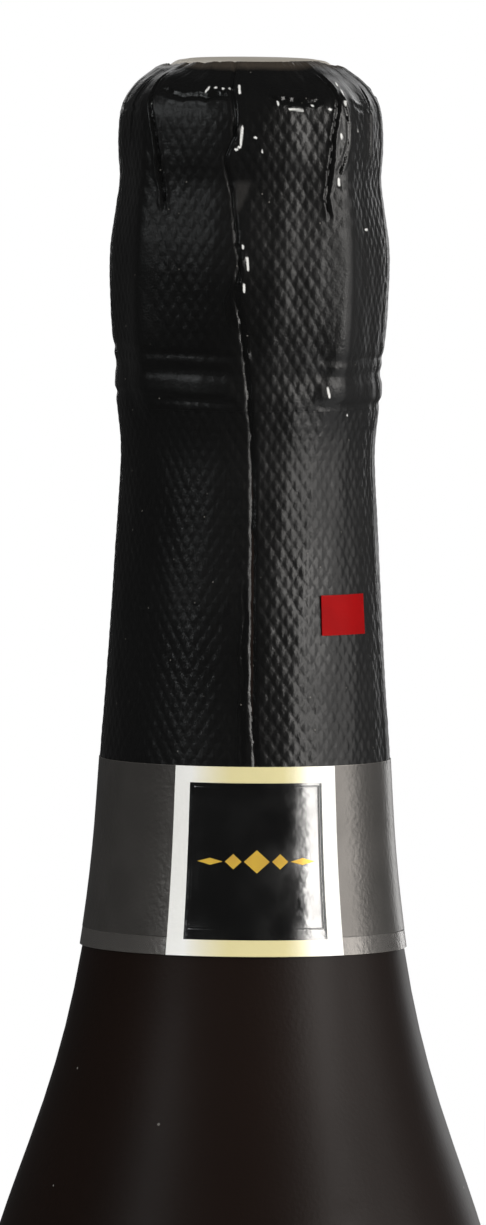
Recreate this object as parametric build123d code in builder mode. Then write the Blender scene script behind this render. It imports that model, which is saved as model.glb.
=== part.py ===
"""A half bottle of sparkling wine, unopened: glass, cork, wire hood, foil and neck label.

Millimetres, +Z up, origin at the centre of the face that the bottle stands on.
The front, with the label's panel, faces -Y. Turns are counted from the front, to the right.
"""

import math
import os

from build123d import *

os.makedirs("parts", exist_ok=True)

# Turns in degrees, and where the front lies when they are counted from the X axis
FULL_TURN = 360.0
HALF_TURN = FULL_TURN / 2
FRONT_ANGLE = -90.0

# The bottle's body
BOTTLE_HEIGHT = 248.0
BODY_DIAMETER = 70.8
BODY_WALL = 3.9
HEEL_HEIGHT = 7.0
HEEL_WIDTH = 7.9
HEEL_PULL_SHARE = 0.67
BEARING_WIDTH = 2.6
PUNT_DEPTH = 20.0
PUNT_TOP_RADIUS = 9.0
PUNT_SIDE_HEIGHT = 17.0
BASE_THICKNESS = 6.0
FLOOR_BEVEL = 6.0

# The shoulder: one smooth curve from the straight body to the neck's cone
SHOULDER_LOW_DROP = 163.6
SHOULDER_HIGH_DROP = 80.0
SHOULDER_HIGH_RADIUS = 18.93
SHOULDER_LOW_PULL = 35.6
SHOULDER_HIGH_PULL = 47.7
NECK_TAPER_SHARE = 0.0617
NECK_WALL = 4.6
BISECTION_STEPS = 40

# The finish: the ring, the seat of the belt wire and the lip, in drops below the mouth
CONE_TOP_DROP = 36.0
BELT_DROP = 26.2
BELT_SEAT_HEIGHT = 3.6
BELT_SEAT_RADIUS = 14.85
RING_OVERHANG = 2.35
RING_LOW_DROP = 18.0
RING_HIGH_DROP = 8.0
RING_ROUNDING = 1.2
GROOVE_STEP = 3.8
GROOVE_LOW_DROP = 6.4
GROOVE_HIGH_DROP = 5.2
LIP_STEP = 2.9
LIP_LOW_DROP = 4.3
LIP_ROUNDING = 1.3
BORE_RADIUS = 8.8
BORE_LENGTH = 26.0
BORE_CHAMFER = 0.8
THROAT_RADIUS = 10.2
THROAT_DROP = 46.0

# The cork
CORK_RUNNING_GAP = 0.05
CORK_DEPTH = 24.0
CORK_CHAMFER = 0.6
DISC_THICKNESS = 5.4
HEAD_LIFT = 0.4
HEAD_RADIUS = 15.3
HEAD_FLARE_HEIGHT = 3.4
HEAD_FLARE_RADIUS = 12.8
HEAD_SIDE_HEIGHT = 9.6
HEAD_TOP_RADIUS = 11.8

# The metal cap on the cork
CAP_THICKNESS = 0.25
CAP_SEAT_GAP = 0.1
CAP_SHOULDER_HEIGHT = 13.9
CAP_TOP_HEIGHT = 16.6
CAP_CROWN = 0.35
CAP_TOP_RADIUS = 10.6
CAP_STEP_RADIUS = 10.9
CAP_SHOULDER_RADIUS = 12.3
CAP_RIM_RADIUS = 15.7
CAP_RIM_TOP_HEIGHT = 10.7
CAP_RIM_LENGTH = 2.2
CAP_CHAMFER = 0.4
CAP_SLOPE_SHARE = 0.4

# The wire hood
WIRE_DIAMETER = 0.9
WIRE_SIDES = 6
STRAND_SIDES = 6
EYELET_SIDES = 10
HOOD_GAP = 0.2
WIRE_GAP = 0.1
SEAT_GAP = 0.05
TOP_RING_RADIUS = 11.6
LEG_COUNT = 4
LEG_TURN = 42.0
LEG_SHOULDER_RADIUS = 13.3
LEG_RIM_RISE = 0.4
LEG_RING_MARGIN = 0.4
LEG_UNDER_RING = 0.9
LEG_SHOULDER_BEND = 1.2
LEG_RIM_BEND = 2.0
LEG_SIDE_BEND = 8.0
LEG_FOOT_BEND = 2.0
TWIST_PITCH = 8.0
STEPS_PER_TURN = 5
FLAT_STEPS = 3
LEG_END_TURN_SHARE = 0.25
STRAND_SHARES = ((0, 0.4), (1, 1), (2, 0), (1, -1))
KEY_TURN = HALF_TURN
KEY_ROOT_GAP = 0.15
KEY_TAIL_LENGTH = 9.0
KEY_LOOP_WIDTH = 8.6
KEY_LOOP_LENGTH = 13.0
KEY_LOOP_BEND = 1.6

# The foil, in rooms outside the cap, the ring and the belt wire that it lies over
FOIL_THICKNESS = 0.2
FOIL_GAP = 0.05
FOIL_TENT_GAP = 0.15
FOIL_TENT_FOOT = 2.7
FOIL_EDGE_ROOM = 0.3
FOIL_EDGE_DROP = 0.6
FOIL_BROW_ROOM = 0.6
FOIL_BROW_RISE = 1.3
FOIL_CHEEK_ROOM = 1.05
FOIL_HEAD_ROOM = 1.5
FOIL_HEAD_HEIGHT = 6.0
FOIL_WAIST_ROOM = 1.15
FOIL_WAIST_HEIGHT = 0.8
FOIL_RING_ROOM = 0.88
FOIL_CHEEK_BEND = 3.5
FOIL_INNER_BEND = 3.0
TEAR_DROP = 28.4
TEAR_STEP = 0.4
TEAR_GAP = 0.1
FOIL_LOW_DROP = 97.0

# The neck label with its panel, in angles from the front and shares of the label's height
LABEL_HIGH_DROP = 74.2
LABEL_LOW_DROP = 98.6
LABEL_THICKNESS = 0.12
LABEL_SEAM_ANGLE = 3.0
GLUE_GAP = 0.02
PANEL_CENTRE_ANGLE = 4.8
PANEL_HALF_ANGLE = 32.8
BORDER_WIDTH = 2.1
STAMP_THICKNESS = 0.05
ORNAMENT_LENGTH = 15.2
ORNAMENT_HEIGHT = 3.0
ORNAMENT_HEIGHT_SHARE = 0.5
ORNAMENT_LOZENGE_SHARES = ((-0.11, 0.11, 1.0), (0.13, 0.27, 0.66), (0.29, 0.5, 0.3))

# The sticker on the lower foil
STICKER_HIGH_DROP = 52.2
STICKER_HEIGHT = 5.2
STICKER_THICKNESS = 0.1
STICKER_FROM_ANGLE = 33.4
STICKER_TO_ANGLE = 59.2

MOUTH = BOTTLE_HEIGHT
BODY_RADIUS = BODY_DIAMETER / 2
BEARING_RADIUS = BODY_RADIUS - HEEL_WIDTH
WIRE_RADIUS = WIRE_DIAMETER / 2
BELT_Z = MOUTH - BELT_DROP
RING_RADIUS = BELT_SEAT_RADIUS + RING_OVERHANG
GROOVE_RADIUS = RING_RADIUS - GROOVE_STEP
LIP_RADIUS = RING_RADIUS - LIP_STEP


def cone_radius(drop):
    """The neck's outside radius on its straight cone."""
    return SHOULDER_HIGH_RADIUS - (SHOULDER_HIGH_DROP - drop) * NECK_TAPER_SHARE


def shoulder_poles(high_radius, low_radius):
    """The four poles of the shoulder's curve, from the neck down to the body."""
    lean = math.hypot(NECK_TAPER_SHARE, 1)
    high = (high_radius, MOUTH - SHOULDER_HIGH_DROP)
    low = (low_radius, MOUTH - SHOULDER_LOW_DROP)
    after_high = (
        high[0] + SHOULDER_HIGH_PULL * NECK_TAPER_SHARE / lean,
        high[1] - SHOULDER_HIGH_PULL / lean,
    )
    before_low = (low[0], low[1] + SHOULDER_LOW_PULL)
    return high, after_high, before_low, low


def shoulder_radius(drop):
    """The glass's outside radius on the shoulder's curve at a drop below the mouth."""
    poles = shoulder_poles(SHOULDER_HIGH_RADIUS, BODY_RADIUS)
    near, far = 0.0, 1.0
    for _ in range(BISECTION_STEPS):
        middle = (near + far) / 2
        if MOUTH - bezier_value(poles, middle, 1) < drop:
            near = middle
        else:
            far = middle
    return bezier_value(poles, near, 0)


def bezier_value(poles, share, index):
    """One coordinate of a cubic curve at a share of its run."""
    rest = 1 - share
    weights = (rest**3, 3 * rest**2 * share, 3 * rest * share**2, share**3)
    return sum(weight * pole[index] for weight, pole in zip(weights, poles))


def radial_plane(turn):
    """The upright plane through the axis, with its x pointing outwards at a turn from the front."""
    angle = math.radians(turn)
    return Plane(
        origin=(0, 0, 0),
        x_dir=(math.sin(angle), -math.cos(angle), 0),
        z_dir=(-math.cos(angle), -math.sin(angle), 0),
    )


def facing_plane(turn):
    """The upright plane through the axis that faces outwards at a turn from the front."""
    angle = math.radians(turn)
    return Plane(
        origin=(0, 0, 0),
        x_dir=(math.cos(angle), math.sin(angle), 0),
        z_dir=(math.sin(angle), -math.cos(angle), 0),
    )


def corner_near(section, point):
    """The corner of a section that lies nearest to a point."""
    return section.vertices().sort_by_distance(point)[0]


def neck_band(plane, low_drop, high_drop, inner, outer):
    """The section of a layer that hugs the neck, between two offsets from the glass."""
    middle = (low_drop + SHOULDER_HIGH_DROP) / 2
    rims = []
    with BuildSketch(plane) as band:
        with BuildLine():
            for offset_out in (inner, outer):
                top = (cone_radius(high_drop) + offset_out, MOUTH - high_drop)
                bend = (cone_radius(SHOULDER_HIGH_DROP) + offset_out, MOUTH - SHOULDER_HIGH_DROP)
                through = (shoulder_radius(middle) + offset_out, MOUTH - middle)
                end = (shoulder_radius(low_drop) + offset_out, MOUTH - low_drop)
                Line(top, bend)
                ThreePointArc(bend, through, end)
                rims.append((top, end))
            Line(rims[0][0], rims[1][0])
            Line(rims[0][1], rims[1][1])
        make_face()
    return band.sketch


# The glass: outside from the punt to the lip, inside back down to the floor
with BuildPart() as glass_bottle:
    with BuildSketch(Plane.XZ) as glass_section:
        with BuildLine():
            punt_edge = (BEARING_RADIUS - BEARING_WIDTH, 0)
            punt_side = (PUNT_TOP_RADIUS, PUNT_SIDE_HEIGHT)
            Bezier((0, PUNT_DEPTH), (PUNT_TOP_RADIUS, PUNT_DEPTH), punt_side, punt_edge)
            Line(punt_edge, (BEARING_RADIUS, 0))
            heel = (BODY_RADIUS, HEEL_HEIGHT)
            heel_low = (BEARING_RADIUS + HEEL_WIDTH * HEEL_PULL_SHARE, 0)
            heel_high = (BODY_RADIUS, HEEL_HEIGHT * (1 - HEEL_PULL_SHARE))
            Bezier((BEARING_RADIUS, 0), heel_low, heel_high, heel)
            Line(heel, (BODY_RADIUS, MOUTH - SHOULDER_LOW_DROP))
            Bezier(*shoulder_poles(SHOULDER_HIGH_RADIUS, BODY_RADIUS))
            cone_top = (cone_radius(CONE_TOP_DROP), MOUTH - CONE_TOP_DROP)
            Line((SHOULDER_HIGH_RADIUS, MOUTH - SHOULDER_HIGH_DROP), cone_top)
            finish_points = [
                cone_top,
                (BELT_SEAT_RADIUS, BELT_Z - BELT_SEAT_HEIGHT / 2),
                (BELT_SEAT_RADIUS, BELT_Z + BELT_SEAT_HEIGHT / 2),
                (RING_RADIUS, MOUTH - RING_LOW_DROP),
                (RING_RADIUS, MOUTH - RING_HIGH_DROP),
                (GROOVE_RADIUS, MOUTH - GROOVE_LOW_DROP),
                (GROOVE_RADIUS, MOUTH - GROOVE_HIGH_DROP),
                (LIP_RADIUS, MOUTH - LIP_LOW_DROP),
                (LIP_RADIUS, MOUTH),
                (BORE_RADIUS, MOUTH),
                (BORE_RADIUS, MOUTH - BORE_LENGTH),
                (THROAT_RADIUS, MOUTH - THROAT_DROP),
                (SHOULDER_HIGH_RADIUS - NECK_WALL, MOUTH - SHOULDER_HIGH_DROP),
            ]
            Polyline(*finish_points)
            inner_radius = BODY_RADIUS - BODY_WALL
            Bezier(*shoulder_poles(SHOULDER_HIGH_RADIUS - NECK_WALL, inner_radius))
            floor_side = (inner_radius, BASE_THICKNESS + FLOOR_BEVEL)
            Line((inner_radius, MOUTH - SHOULDER_LOW_DROP), floor_side)
            floor_low = (inner_radius - FLOOR_BEVEL, BASE_THICKNESS)
            Line(floor_side, floor_low)
            floor_top = (0, PUNT_DEPTH + BASE_THICKNESS)
            Bezier(
                floor_low,
                (PUNT_TOP_RADIUS + BASE_THICKNESS, PUNT_SIDE_HEIGHT + BASE_THICKNESS),
                (PUNT_TOP_RADIUS + BASE_THICKNESS / 2, floor_top[1]),
                floor_top,
            )
            Line(floor_top, (0, PUNT_DEPTH))
        make_face()
        for drop in (RING_LOW_DROP, RING_HIGH_DROP):
            fillet(corner_near(glass_section, (RING_RADIUS, MOUTH - drop)), RING_ROUNDING)
        fillet(corner_near(glass_section, (LIP_RADIUS, MOUTH)), LIP_ROUNDING)
        chamfer(corner_near(glass_section, (BORE_RADIUS, MOUTH)), BORE_CHAMFER)
    revolve(axis=Axis.Z)
glass_bottle.part.label = "glass_bottle"

# The cork: a pressed body with its mushroom head, and two glued discs at the wine end
shank_radius = BORE_RADIUS - CORK_RUNNING_GAP
disc_join = MOUTH - CORK_DEPTH + DISC_THICKNESS
cork_join = disc_join + DISC_THICKNESS
cork_top = MOUTH + CAP_SHOULDER_HEIGHT - CAP_THICKNESS - CAP_SEAT_GAP
head_low = MOUTH + HEAD_LIFT

with BuildPart() as cork_body:
    with BuildSketch(Plane.XZ):
        with BuildLine():
            Polyline(
                (0, cork_top),
                (0, cork_join),
                (shank_radius, cork_join),
                (shank_radius, head_low),
                (HEAD_FLARE_RADIUS, head_low),
            )
            flare_end = (HEAD_RADIUS, head_low + HEAD_FLARE_HEIGHT)
            Line((HEAD_FLARE_RADIUS, head_low), flare_end)
            side_end = (HEAD_RADIUS, MOUTH + HEAD_SIDE_HEIGHT)
            Line(flare_end, side_end)
            RadiusArc(side_end, (HEAD_TOP_RADIUS, cork_top), -HEAD_FLARE_HEIGHT * 2)
            Line((HEAD_TOP_RADIUS, cork_top), (0, cork_top))
        make_face()
    revolve(axis=Axis.Z)
cork_body.part.label = "cork_body"

with BuildPart() as cork_disc_upper:
    with BuildSketch(Plane.XY.offset(disc_join)):
        Circle(shank_radius)
    extrude(amount=DISC_THICKNESS)
cork_disc_upper.part.label = "cork_disc_upper"

with BuildPart() as cork_disc_lower:
    with BuildSketch(Plane.XY.offset(MOUTH - CORK_DEPTH)):
        Circle(shank_radius)
    extrude(amount=DISC_THICKNESS)
    chamfer(cork_disc_lower.edges().sort_by(Axis.Z)[0], CORK_CHAMFER)
cork_disc_lower.part.label = "cork_disc_lower"

# The metal cap: raised centre, shoulder for the wire ring, and a turned-down rim
shoulder_z = MOUTH + CAP_SHOULDER_HEIGHT
rim_top_z = MOUTH + CAP_RIM_TOP_HEIGHT
cap_top_z = MOUTH + CAP_TOP_HEIGHT


def cap_points(inset):
    """The cap's outline from the centre to the rim, drawn in by the sheet's inset."""
    slope_inset = inset * CAP_SLOPE_SHARE
    return [
        (0, cap_top_z - inset),
        (CAP_TOP_RADIUS - inset, cap_top_z - CAP_CROWN - inset),
        (CAP_STEP_RADIUS - inset, shoulder_z - inset),
        (CAP_SHOULDER_RADIUS - slope_inset, shoulder_z - inset),
        (CAP_RIM_RADIUS - inset, rim_top_z - slope_inset),
        (CAP_RIM_RADIUS - inset, rim_top_z - CAP_RIM_LENGTH),
    ]


with BuildPart() as hood_cap:
    with BuildSketch(Plane.XZ) as cap_section:
        with BuildLine():
            Polyline(*cap_points(0), *reversed(cap_points(CAP_THICKNESS)), close=True)
        make_face()
        for corner in (cap_points(0)[1], cap_points(0)[-2]):
            chamfer(corner_near(cap_section, corner), CAP_CHAMFER)
    revolve(axis=Axis.Z)
hood_cap.part.label = "hood_cap"


def twisted_pair(path, twist_from, turns):
    """Two strands, lying side by side, that twist about each other along a path in the XZ plane.

    They start side by side across that plane and twist from twist_from along the path.
    Each strand is four-sided, and every facet of the pair is flat.
    """
    strand = [(x * WIRE_RADIUS, y * WIRE_RADIUS) for x, y in STRAND_SHARES]
    outline = strand + [(-x, -y) for x, y in strand]
    steps = round(turns * STEPS_PER_TURN)
    twist_length = path.length - twist_from
    stations = [(twist_from * step / FLAT_STEPS, 0) for step in range(FLAT_STEPS)]
    for step in range(steps + 1):
        share = step / steps
        stations.append((twist_from + twist_length * share, turns * FULL_TURN * share))
    rings = []
    for run, turn in stations:
        share = run / path.length
        frame = Plane(origin=path @ share, x_dir=(0, 1, 0), z_dir=path % share).rotated((0, 0, turn))
        rings.append([frame.from_local_coords(point) for point in outline])
    facets = [Face(Wire.make_polygon(rings[0])), Face(Wire.make_polygon(rings[-1]))]
    for low, high in zip(rings, rings[1:]):
        for index in range(len(outline)):
            after = (index + 1) % len(outline)
            facets.append(Face(Wire.make_polygon([low[index], low[after], high[after]])))
            facets.append(Face(Wire.make_polygon([low[index], high[after], high[index]])))
    return Solid(Shell(facets))


# The cage: a top ring, four twisted legs and the eyelets that hold the belt wire
belt_radius = BELT_SEAT_RADIUS + HOOD_GAP + WIRE_DIAMETER + WIRE_GAP + WIRE_RADIUS
leg_bends = [LEG_SHOULDER_BEND, LEG_RIM_BEND, LEG_SIDE_BEND, LEG_FOOT_BEND]
eyelet_radius = WIRE_DIAMETER + WIRE_GAP
ring_z = shoulder_z + SEAT_GAP + WIRE_RADIUS
leg_rim_radius = CAP_RIM_RADIUS + WIRE_DIAMETER + HOOD_GAP
leg_side_radius = RING_RADIUS + HOOD_GAP + WIRE_DIAMETER
leg_points = [
    (TOP_RING_RADIUS, 0, ring_z),
    (LEG_SHOULDER_RADIUS, 0, ring_z),
    (leg_rim_radius, 0, rim_top_z + LEG_RIM_RISE),
    (leg_side_radius, 0, MOUTH - RING_HIGH_DROP + LEG_RING_MARGIN),
    (leg_side_radius, 0, MOUTH - RING_LOW_DROP - LEG_UNDER_RING),
    (belt_radius, 0, BELT_Z + eyelet_radius),
]
with BuildLine():
    leg_path = FilletPolyline(*leg_points, radius=leg_bends)
twist_from = leg_rim_radius - TOP_RING_RADIUS
leg_turns = round((leg_path.length - twist_from) / TWIST_PITCH) + LEG_END_TURN_SHARE

with BuildPart() as leg:
    add(twisted_pair(leg_path, twist_from, leg_turns))
    with BuildLine(Plane.XZ):
        turn_step = math.radians(FULL_TURN / EYELET_SIDES)
        corner_radius = eyelet_radius / math.cos(turn_step / 2)
        eyelet_points = []
        for side in range(EYELET_SIDES):
            across = corner_radius * math.cos(turn_step * side)
            eyelet_points.append((belt_radius + across, BELT_Z + corner_radius * math.sin(turn_step * side)))
        eyelet_path = Polyline(*eyelet_points, close=True)
    with BuildSketch(Plane(origin=eyelet_path @ 0, x_dir=(0, 1, 0), z_dir=eyelet_path % 0)):
        RegularPolygon(WIRE_RADIUS, STRAND_SIDES, major_radius=False)
    sweep(path=eyelet_path, transition=Transition.RIGHT)

with BuildPart() as hood_frame:
    with BuildSketch(Plane.XZ):
        with Locations((TOP_RING_RADIUS, ring_z)):
            RegularPolygon(WIRE_RADIUS, WIRE_SIDES, major_radius=False)
    revolve(axis=Axis.Z)
    with PolarLocations(0, LEG_COUNT, start_angle=LEG_TURN + FRONT_ANGLE):
        add(leg.part)
hood_frame.part.label = "hood_frame"

# The belt wire with the root of its twisted end, which the key goes on from
key_radius = RING_RADIUS + HOOD_GAP + WIRE_DIAMETER
root_end = key_radius - WIRE_DIAMETER - KEY_ROOT_GAP
with BuildPart() as hood_belt:
    with BuildSketch(Plane.XZ):
        with Locations((belt_radius, BELT_Z)):
            RegularPolygon(WIRE_RADIUS, WIRE_SIDES, rotation=HALF_TURN / WIRE_SIDES, major_radius=False)
    revolve(axis=Axis.Z)
    with BuildSketch(facing_plane(KEY_TURN).offset(belt_radius)):
        with Locations((-WIRE_RADIUS, BELT_Z), (WIRE_RADIUS, BELT_Z)):
            RegularPolygon(WIRE_RADIUS, STRAND_SIDES, major_radius=False)
    extrude(amount=root_end - belt_radius)
hood_belt.part.label = "hood_belt"

# The key: the twisted tail and its open loop, folded up flat against the ring
tail_top = BELT_Z + KEY_TAIL_LENGTH
loop_half = KEY_LOOP_WIDTH / 2
with BuildPart() as key_tail:
    with BuildLine():
        tail_path = Line((key_radius, 0, BELT_Z), (key_radius, 0, tail_top))
    add(twisted_pair(tail_path, WIRE_RADIUS, round(KEY_TAIL_LENGTH / TWIST_PITCH)))

with BuildPart() as hood_key:
    with PolarLocations(0, 1, start_angle=KEY_TURN + FRONT_ANGLE):
        add(key_tail.part)
    with BuildSketch(radial_plane(KEY_TURN)):
        with Locations((key_radius, BELT_Z)):
            Circle(WIRE_DIAMETER)
    extrude(amount=WIRE_RADIUS, both=True)
    with BuildSketch(facing_plane(KEY_TURN).offset(key_radius - WIRE_RADIUS)):
        with Locations((0, tail_top)):
            loop_outline = [
                (-WIRE_DIAMETER, -WIRE_RADIUS),
                (WIRE_DIAMETER, -WIRE_RADIUS),
                (loop_half, KEY_LOOP_LENGTH / 2),
                (loop_half - KEY_LOOP_BEND, KEY_LOOP_LENGTH),
                (KEY_LOOP_BEND - loop_half, KEY_LOOP_LENGTH),
                (-loop_half, KEY_LOOP_LENGTH / 2),
            ]
            loop_face = Polygon(*loop_outline, align=None)
        fillet(loop_face.vertices().group_by(Axis.Y)[-1], KEY_LOOP_BEND)
        offset(amount=-WIRE_DIAMETER, mode=Mode.SUBTRACT)
    extrude(amount=WIRE_DIAMETER)
hood_key.part.label = "hood_key"

# The upper foil: its outside line, then room inside for the legs and the key
foil_belt_radius = belt_radius + WIRE_RADIUS + FOIL_GAP + FOIL_THICKNESS
foil_tear_radius = foil_belt_radius - TEAR_STEP
foil_brow = (CAP_SHOULDER_RADIUS + FOIL_BROW_ROOM, CAP_SHOULDER_HEIGHT + FOIL_BROW_RISE)
foil_cheek = (CAP_RIM_RADIUS + FOIL_CHEEK_ROOM, CAP_RIM_TOP_HEIGHT + LEG_RIM_RISE)
foil_waist = (CAP_RIM_RADIUS + FOIL_WAIST_ROOM, FOIL_WAIST_HEIGHT)
foil_points = [
    (CAP_TOP_RADIUS + FOIL_EDGE_ROOM, CAP_TOP_HEIGHT - FOIL_EDGE_DROP),
    foil_brow,
    foil_cheek,
    (CAP_RIM_RADIUS + FOIL_HEAD_ROOM, FOIL_HEAD_HEIGHT),
    foil_waist,
    (RING_RADIUS + FOIL_RING_ROOM, -RING_HIGH_DROP),
    (RING_RADIUS + FOIL_RING_ROOM, LEG_UNDER_RING - RING_LOW_DROP),
    (foil_belt_radius, WIRE_DIAMETER * 2 - BELT_DROP),
    (foil_belt_radius, -WIRE_RADIUS - BELT_DROP),
    (foil_tear_radius, -TEAR_DROP),
]
outer_bends = [(foil_cheek, FOIL_CHEEK_BEND)]
inner_bends = [(foil_cheek, FOIL_INNER_BEND)]


def foil_core(inset, bends):
    """The half section of what the upper foil encloses, drawn in by an inset, with some corners bent."""
    points = [(radius - inset, MOUTH + height) for radius, height in foil_points]
    with BuildSketch(Plane.XZ) as core:
        with BuildLine():
            Polyline(*points, (0, points[-1][1]), (0, points[0][1]), close=True)
        make_face()
        for (radius, height), bend in bends:
            fillet(corner_near(core, (radius - inset, MOUTH + height)), bend)
    return core.sketch


def foil_room(grow):
    """The room that the foil leaves round the hood's legs, eyelets and key, with its walls moved out."""
    margin = FOIL_TENT_GAP + grow
    with BuildPart() as one_leg:
        with BuildLine():
            line = Polyline(*leg_points)
        with BuildSketch(Plane(origin=line @ 0, x_dir=(0, 1, 0), z_dir=line % 0)):
            crest = WIRE_DIAMETER + margin
            foot = FOIL_TENT_FOOT + grow
            ridge = WIRE_RADIUS + margin
            Polygon((-foot, -crest), (foot, -crest), (ridge, crest), (-ridge, crest), align=None)
        sweep(path=line, transition=Transition.RIGHT)
        with BuildSketch(Plane.XZ):
            with Locations((belt_radius, BELT_Z)):
                RegularPolygon(eyelet_radius + WIRE_RADIUS + margin, STRAND_SIDES, major_radius=False)
        extrude(amount=WIRE_RADIUS + margin, both=True)
    with BuildPart() as room:
        with PolarLocations(0, LEG_COUNT, start_angle=LEG_TURN + FRONT_ANGLE):
            add(one_leg.part)
        with BuildSketch(facing_plane(KEY_TURN)):
            with Locations((0, BELT_Z - WIRE_DIAMETER - margin)):
                RectangleRounded(
                    KEY_LOOP_WIDTH + 2 * margin,
                    KEY_TAIL_LENGTH + KEY_LOOP_LENGTH + WIRE_DIAMETER + 2 * margin,
                    KEY_LOOP_BEND + margin,
                    align=(Align.CENTER, Align.MIN),
                )
        extrude(amount=key_radius + WIRE_DIAMETER + margin)
    return room.part


with BuildPart() as foil_cap:
    revolve(foil_core(0, outer_bends), axis=Axis.Z)
    add(foil_room(FOIL_THICKNESS))
    revolve(foil_core(FOIL_THICKNESS, inner_bends), axis=Axis.Z, mode=Mode.SUBTRACT)
    add(foil_room(0), mode=Mode.SUBTRACT)
foil_cap.part.label = "foil_cap"

# The lower foil: hugs the neck, and flares at the top to meet the torn edge under the belt wire
foil_outer = FOIL_GAP + FOIL_THICKNESS
skirt_top_z = MOUTH - TEAR_DROP - TEAR_GAP
with BuildPart() as foil_skirt:
    revolve(neck_band(Plane.XZ, FOIL_LOW_DROP, CONE_TOP_DROP, FOIL_GAP, foil_outer), axis=Axis.Z)
    with BuildSketch(Plane.XZ):
        Polygon(
            (cone_radius(CONE_TOP_DROP) + FOIL_GAP, MOUTH - CONE_TOP_DROP),
            (cone_radius(CONE_TOP_DROP) + foil_outer, MOUTH - CONE_TOP_DROP),
            (foil_tear_radius, skirt_top_z),
            (foil_tear_radius - FOIL_THICKNESS, skirt_top_z),
            align=None,
        )
    revolve(axis=Axis.Z)
foil_skirt.part.label = "foil_skirt"

# The neck label: one strip round the neck, whose ends meet at the back
label_inner = foil_outer + GLUE_GAP
label_outer = label_inner + LABEL_THICKNESS
with BuildPart() as neck_label:
    seam_plane = radial_plane(HALF_TURN + LABEL_SEAM_ANGLE / 2)
    revolve(
        neck_band(seam_plane, LABEL_LOW_DROP, LABEL_HIGH_DROP, label_inner, label_outer),
        axis=Axis.Z,
        revolution_arc=FULL_TURN - LABEL_SEAM_ANGLE,
    )
neck_label.part.label = "neck_label"

# The panel on the label's front: a stamped border, a glossy field inside it and an ornament
stamp_inner = label_outer + GLUE_GAP
stamp_outer = stamp_inner + STAMP_THICKNESS
border_angle = math.degrees(BORDER_WIDTH / SHOULDER_HIGH_RADIUS)
panel_from = PANEL_CENTRE_ANGLE - PANEL_HALF_ANGLE
field_from = panel_from + border_angle
field_arc = 2 * (PANEL_HALF_ANGLE - border_angle)
field_high_drop = LABEL_HIGH_DROP + BORDER_WIDTH
field_low_drop = LABEL_LOW_DROP - BORDER_WIDTH
with BuildPart() as label_border:
    revolve(
        neck_band(radial_plane(panel_from), LABEL_LOW_DROP, LABEL_HIGH_DROP, stamp_inner, stamp_outer),
        axis=Axis.Z,
        revolution_arc=2 * PANEL_HALF_ANGLE,
    )
    revolve(
        neck_band(
            radial_plane(field_from),
            field_low_drop,
            field_high_drop,
            stamp_inner - GLUE_GAP,
            stamp_outer + GLUE_GAP,
        ),
        axis=Axis.Z,
        revolution_arc=field_arc,
        mode=Mode.SUBTRACT,
    )
label_border.part.label = "label_border"

field_gap_angle = math.degrees(GLUE_GAP / SHOULDER_HIGH_RADIUS)
with BuildPart() as label_panel:
    revolve(
        neck_band(
            radial_plane(field_from + field_gap_angle),
            field_low_drop - GLUE_GAP,
            field_high_drop + GLUE_GAP,
            stamp_inner,
            stamp_outer,
        ),
        axis=Axis.Z,
        revolution_arc=field_arc - 2 * field_gap_angle,
    )
label_panel.part.label = "label_panel"

ornament_z = MOUTH - LABEL_HIGH_DROP - (LABEL_LOW_DROP - LABEL_HIGH_DROP) * ORNAMENT_HEIGHT_SHARE
ornament_inner = stamp_outer + GLUE_GAP
with BuildPart() as label_ornament:
    revolve(
        neck_band(
            radial_plane(field_from),
            field_low_drop,
            field_high_drop,
            ornament_inner,
            ornament_inner + STAMP_THICKNESS,
        ),
        axis=Axis.Z,
        revolution_arc=field_arc,
    )
    with BuildSketch(facing_plane(PANEL_CENTRE_ANGLE)):
        for from_share, to_share, height_share in ORNAMENT_LOZENGE_SHARES:
            middle_share = (from_share + to_share) / 2
            half_height = ORNAMENT_HEIGHT / 2 * height_share
            for side in (-1, 1):
                Polygon(
                    (side * from_share * ORNAMENT_LENGTH, ornament_z),
                    (side * middle_share * ORNAMENT_LENGTH, ornament_z + half_height),
                    (side * to_share * ORNAMENT_LENGTH, ornament_z),
                    (side * middle_share * ORNAMENT_LENGTH, ornament_z - half_height),
                    align=None,
                )
    extrude(amount=BODY_RADIUS, mode=Mode.INTERSECT)
label_ornament.part.label = "label_ornament"

# The small sticker on the lower foil
sticker_low_drop = STICKER_HIGH_DROP + STICKER_HEIGHT
sticker_inner = foil_outer + GLUE_GAP
sticker_outer = sticker_inner + STICKER_THICKNESS
with BuildPart() as neck_sticker:
    with BuildSketch(radial_plane(STICKER_FROM_ANGLE)):
        Polygon(
            (cone_radius(STICKER_HIGH_DROP) + sticker_inner, MOUTH - STICKER_HIGH_DROP),
            (cone_radius(STICKER_HIGH_DROP) + sticker_outer, MOUTH - STICKER_HIGH_DROP),
            (cone_radius(sticker_low_drop) + sticker_outer, MOUTH - sticker_low_drop),
            (cone_radius(sticker_low_drop) + sticker_inner, MOUTH - sticker_low_drop),
            align=None,
        )
    revolve(axis=Axis.Z, revolution_arc=STICKER_TO_ANGLE - STICKER_FROM_ANGLE)
neck_sticker.part.label = "neck_sticker"

pieces = [
    glass_bottle,
    cork_body,
    cork_disc_upper,
    cork_disc_lower,
    hood_cap,
    hood_frame,
    hood_belt,
    hood_key,
    foil_cap,
    foil_skirt,
    neck_label,
    label_border,
    label_panel,
    label_ornament,
    neck_sticker,
]
for piece in pieces:
    export_step(piece.part, f"parts/{piece.part.label}.step")
    print(piece.part.label, round(piece.part.volume, 1), len(piece.part.faces()), piece.part.is_valid)
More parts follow.
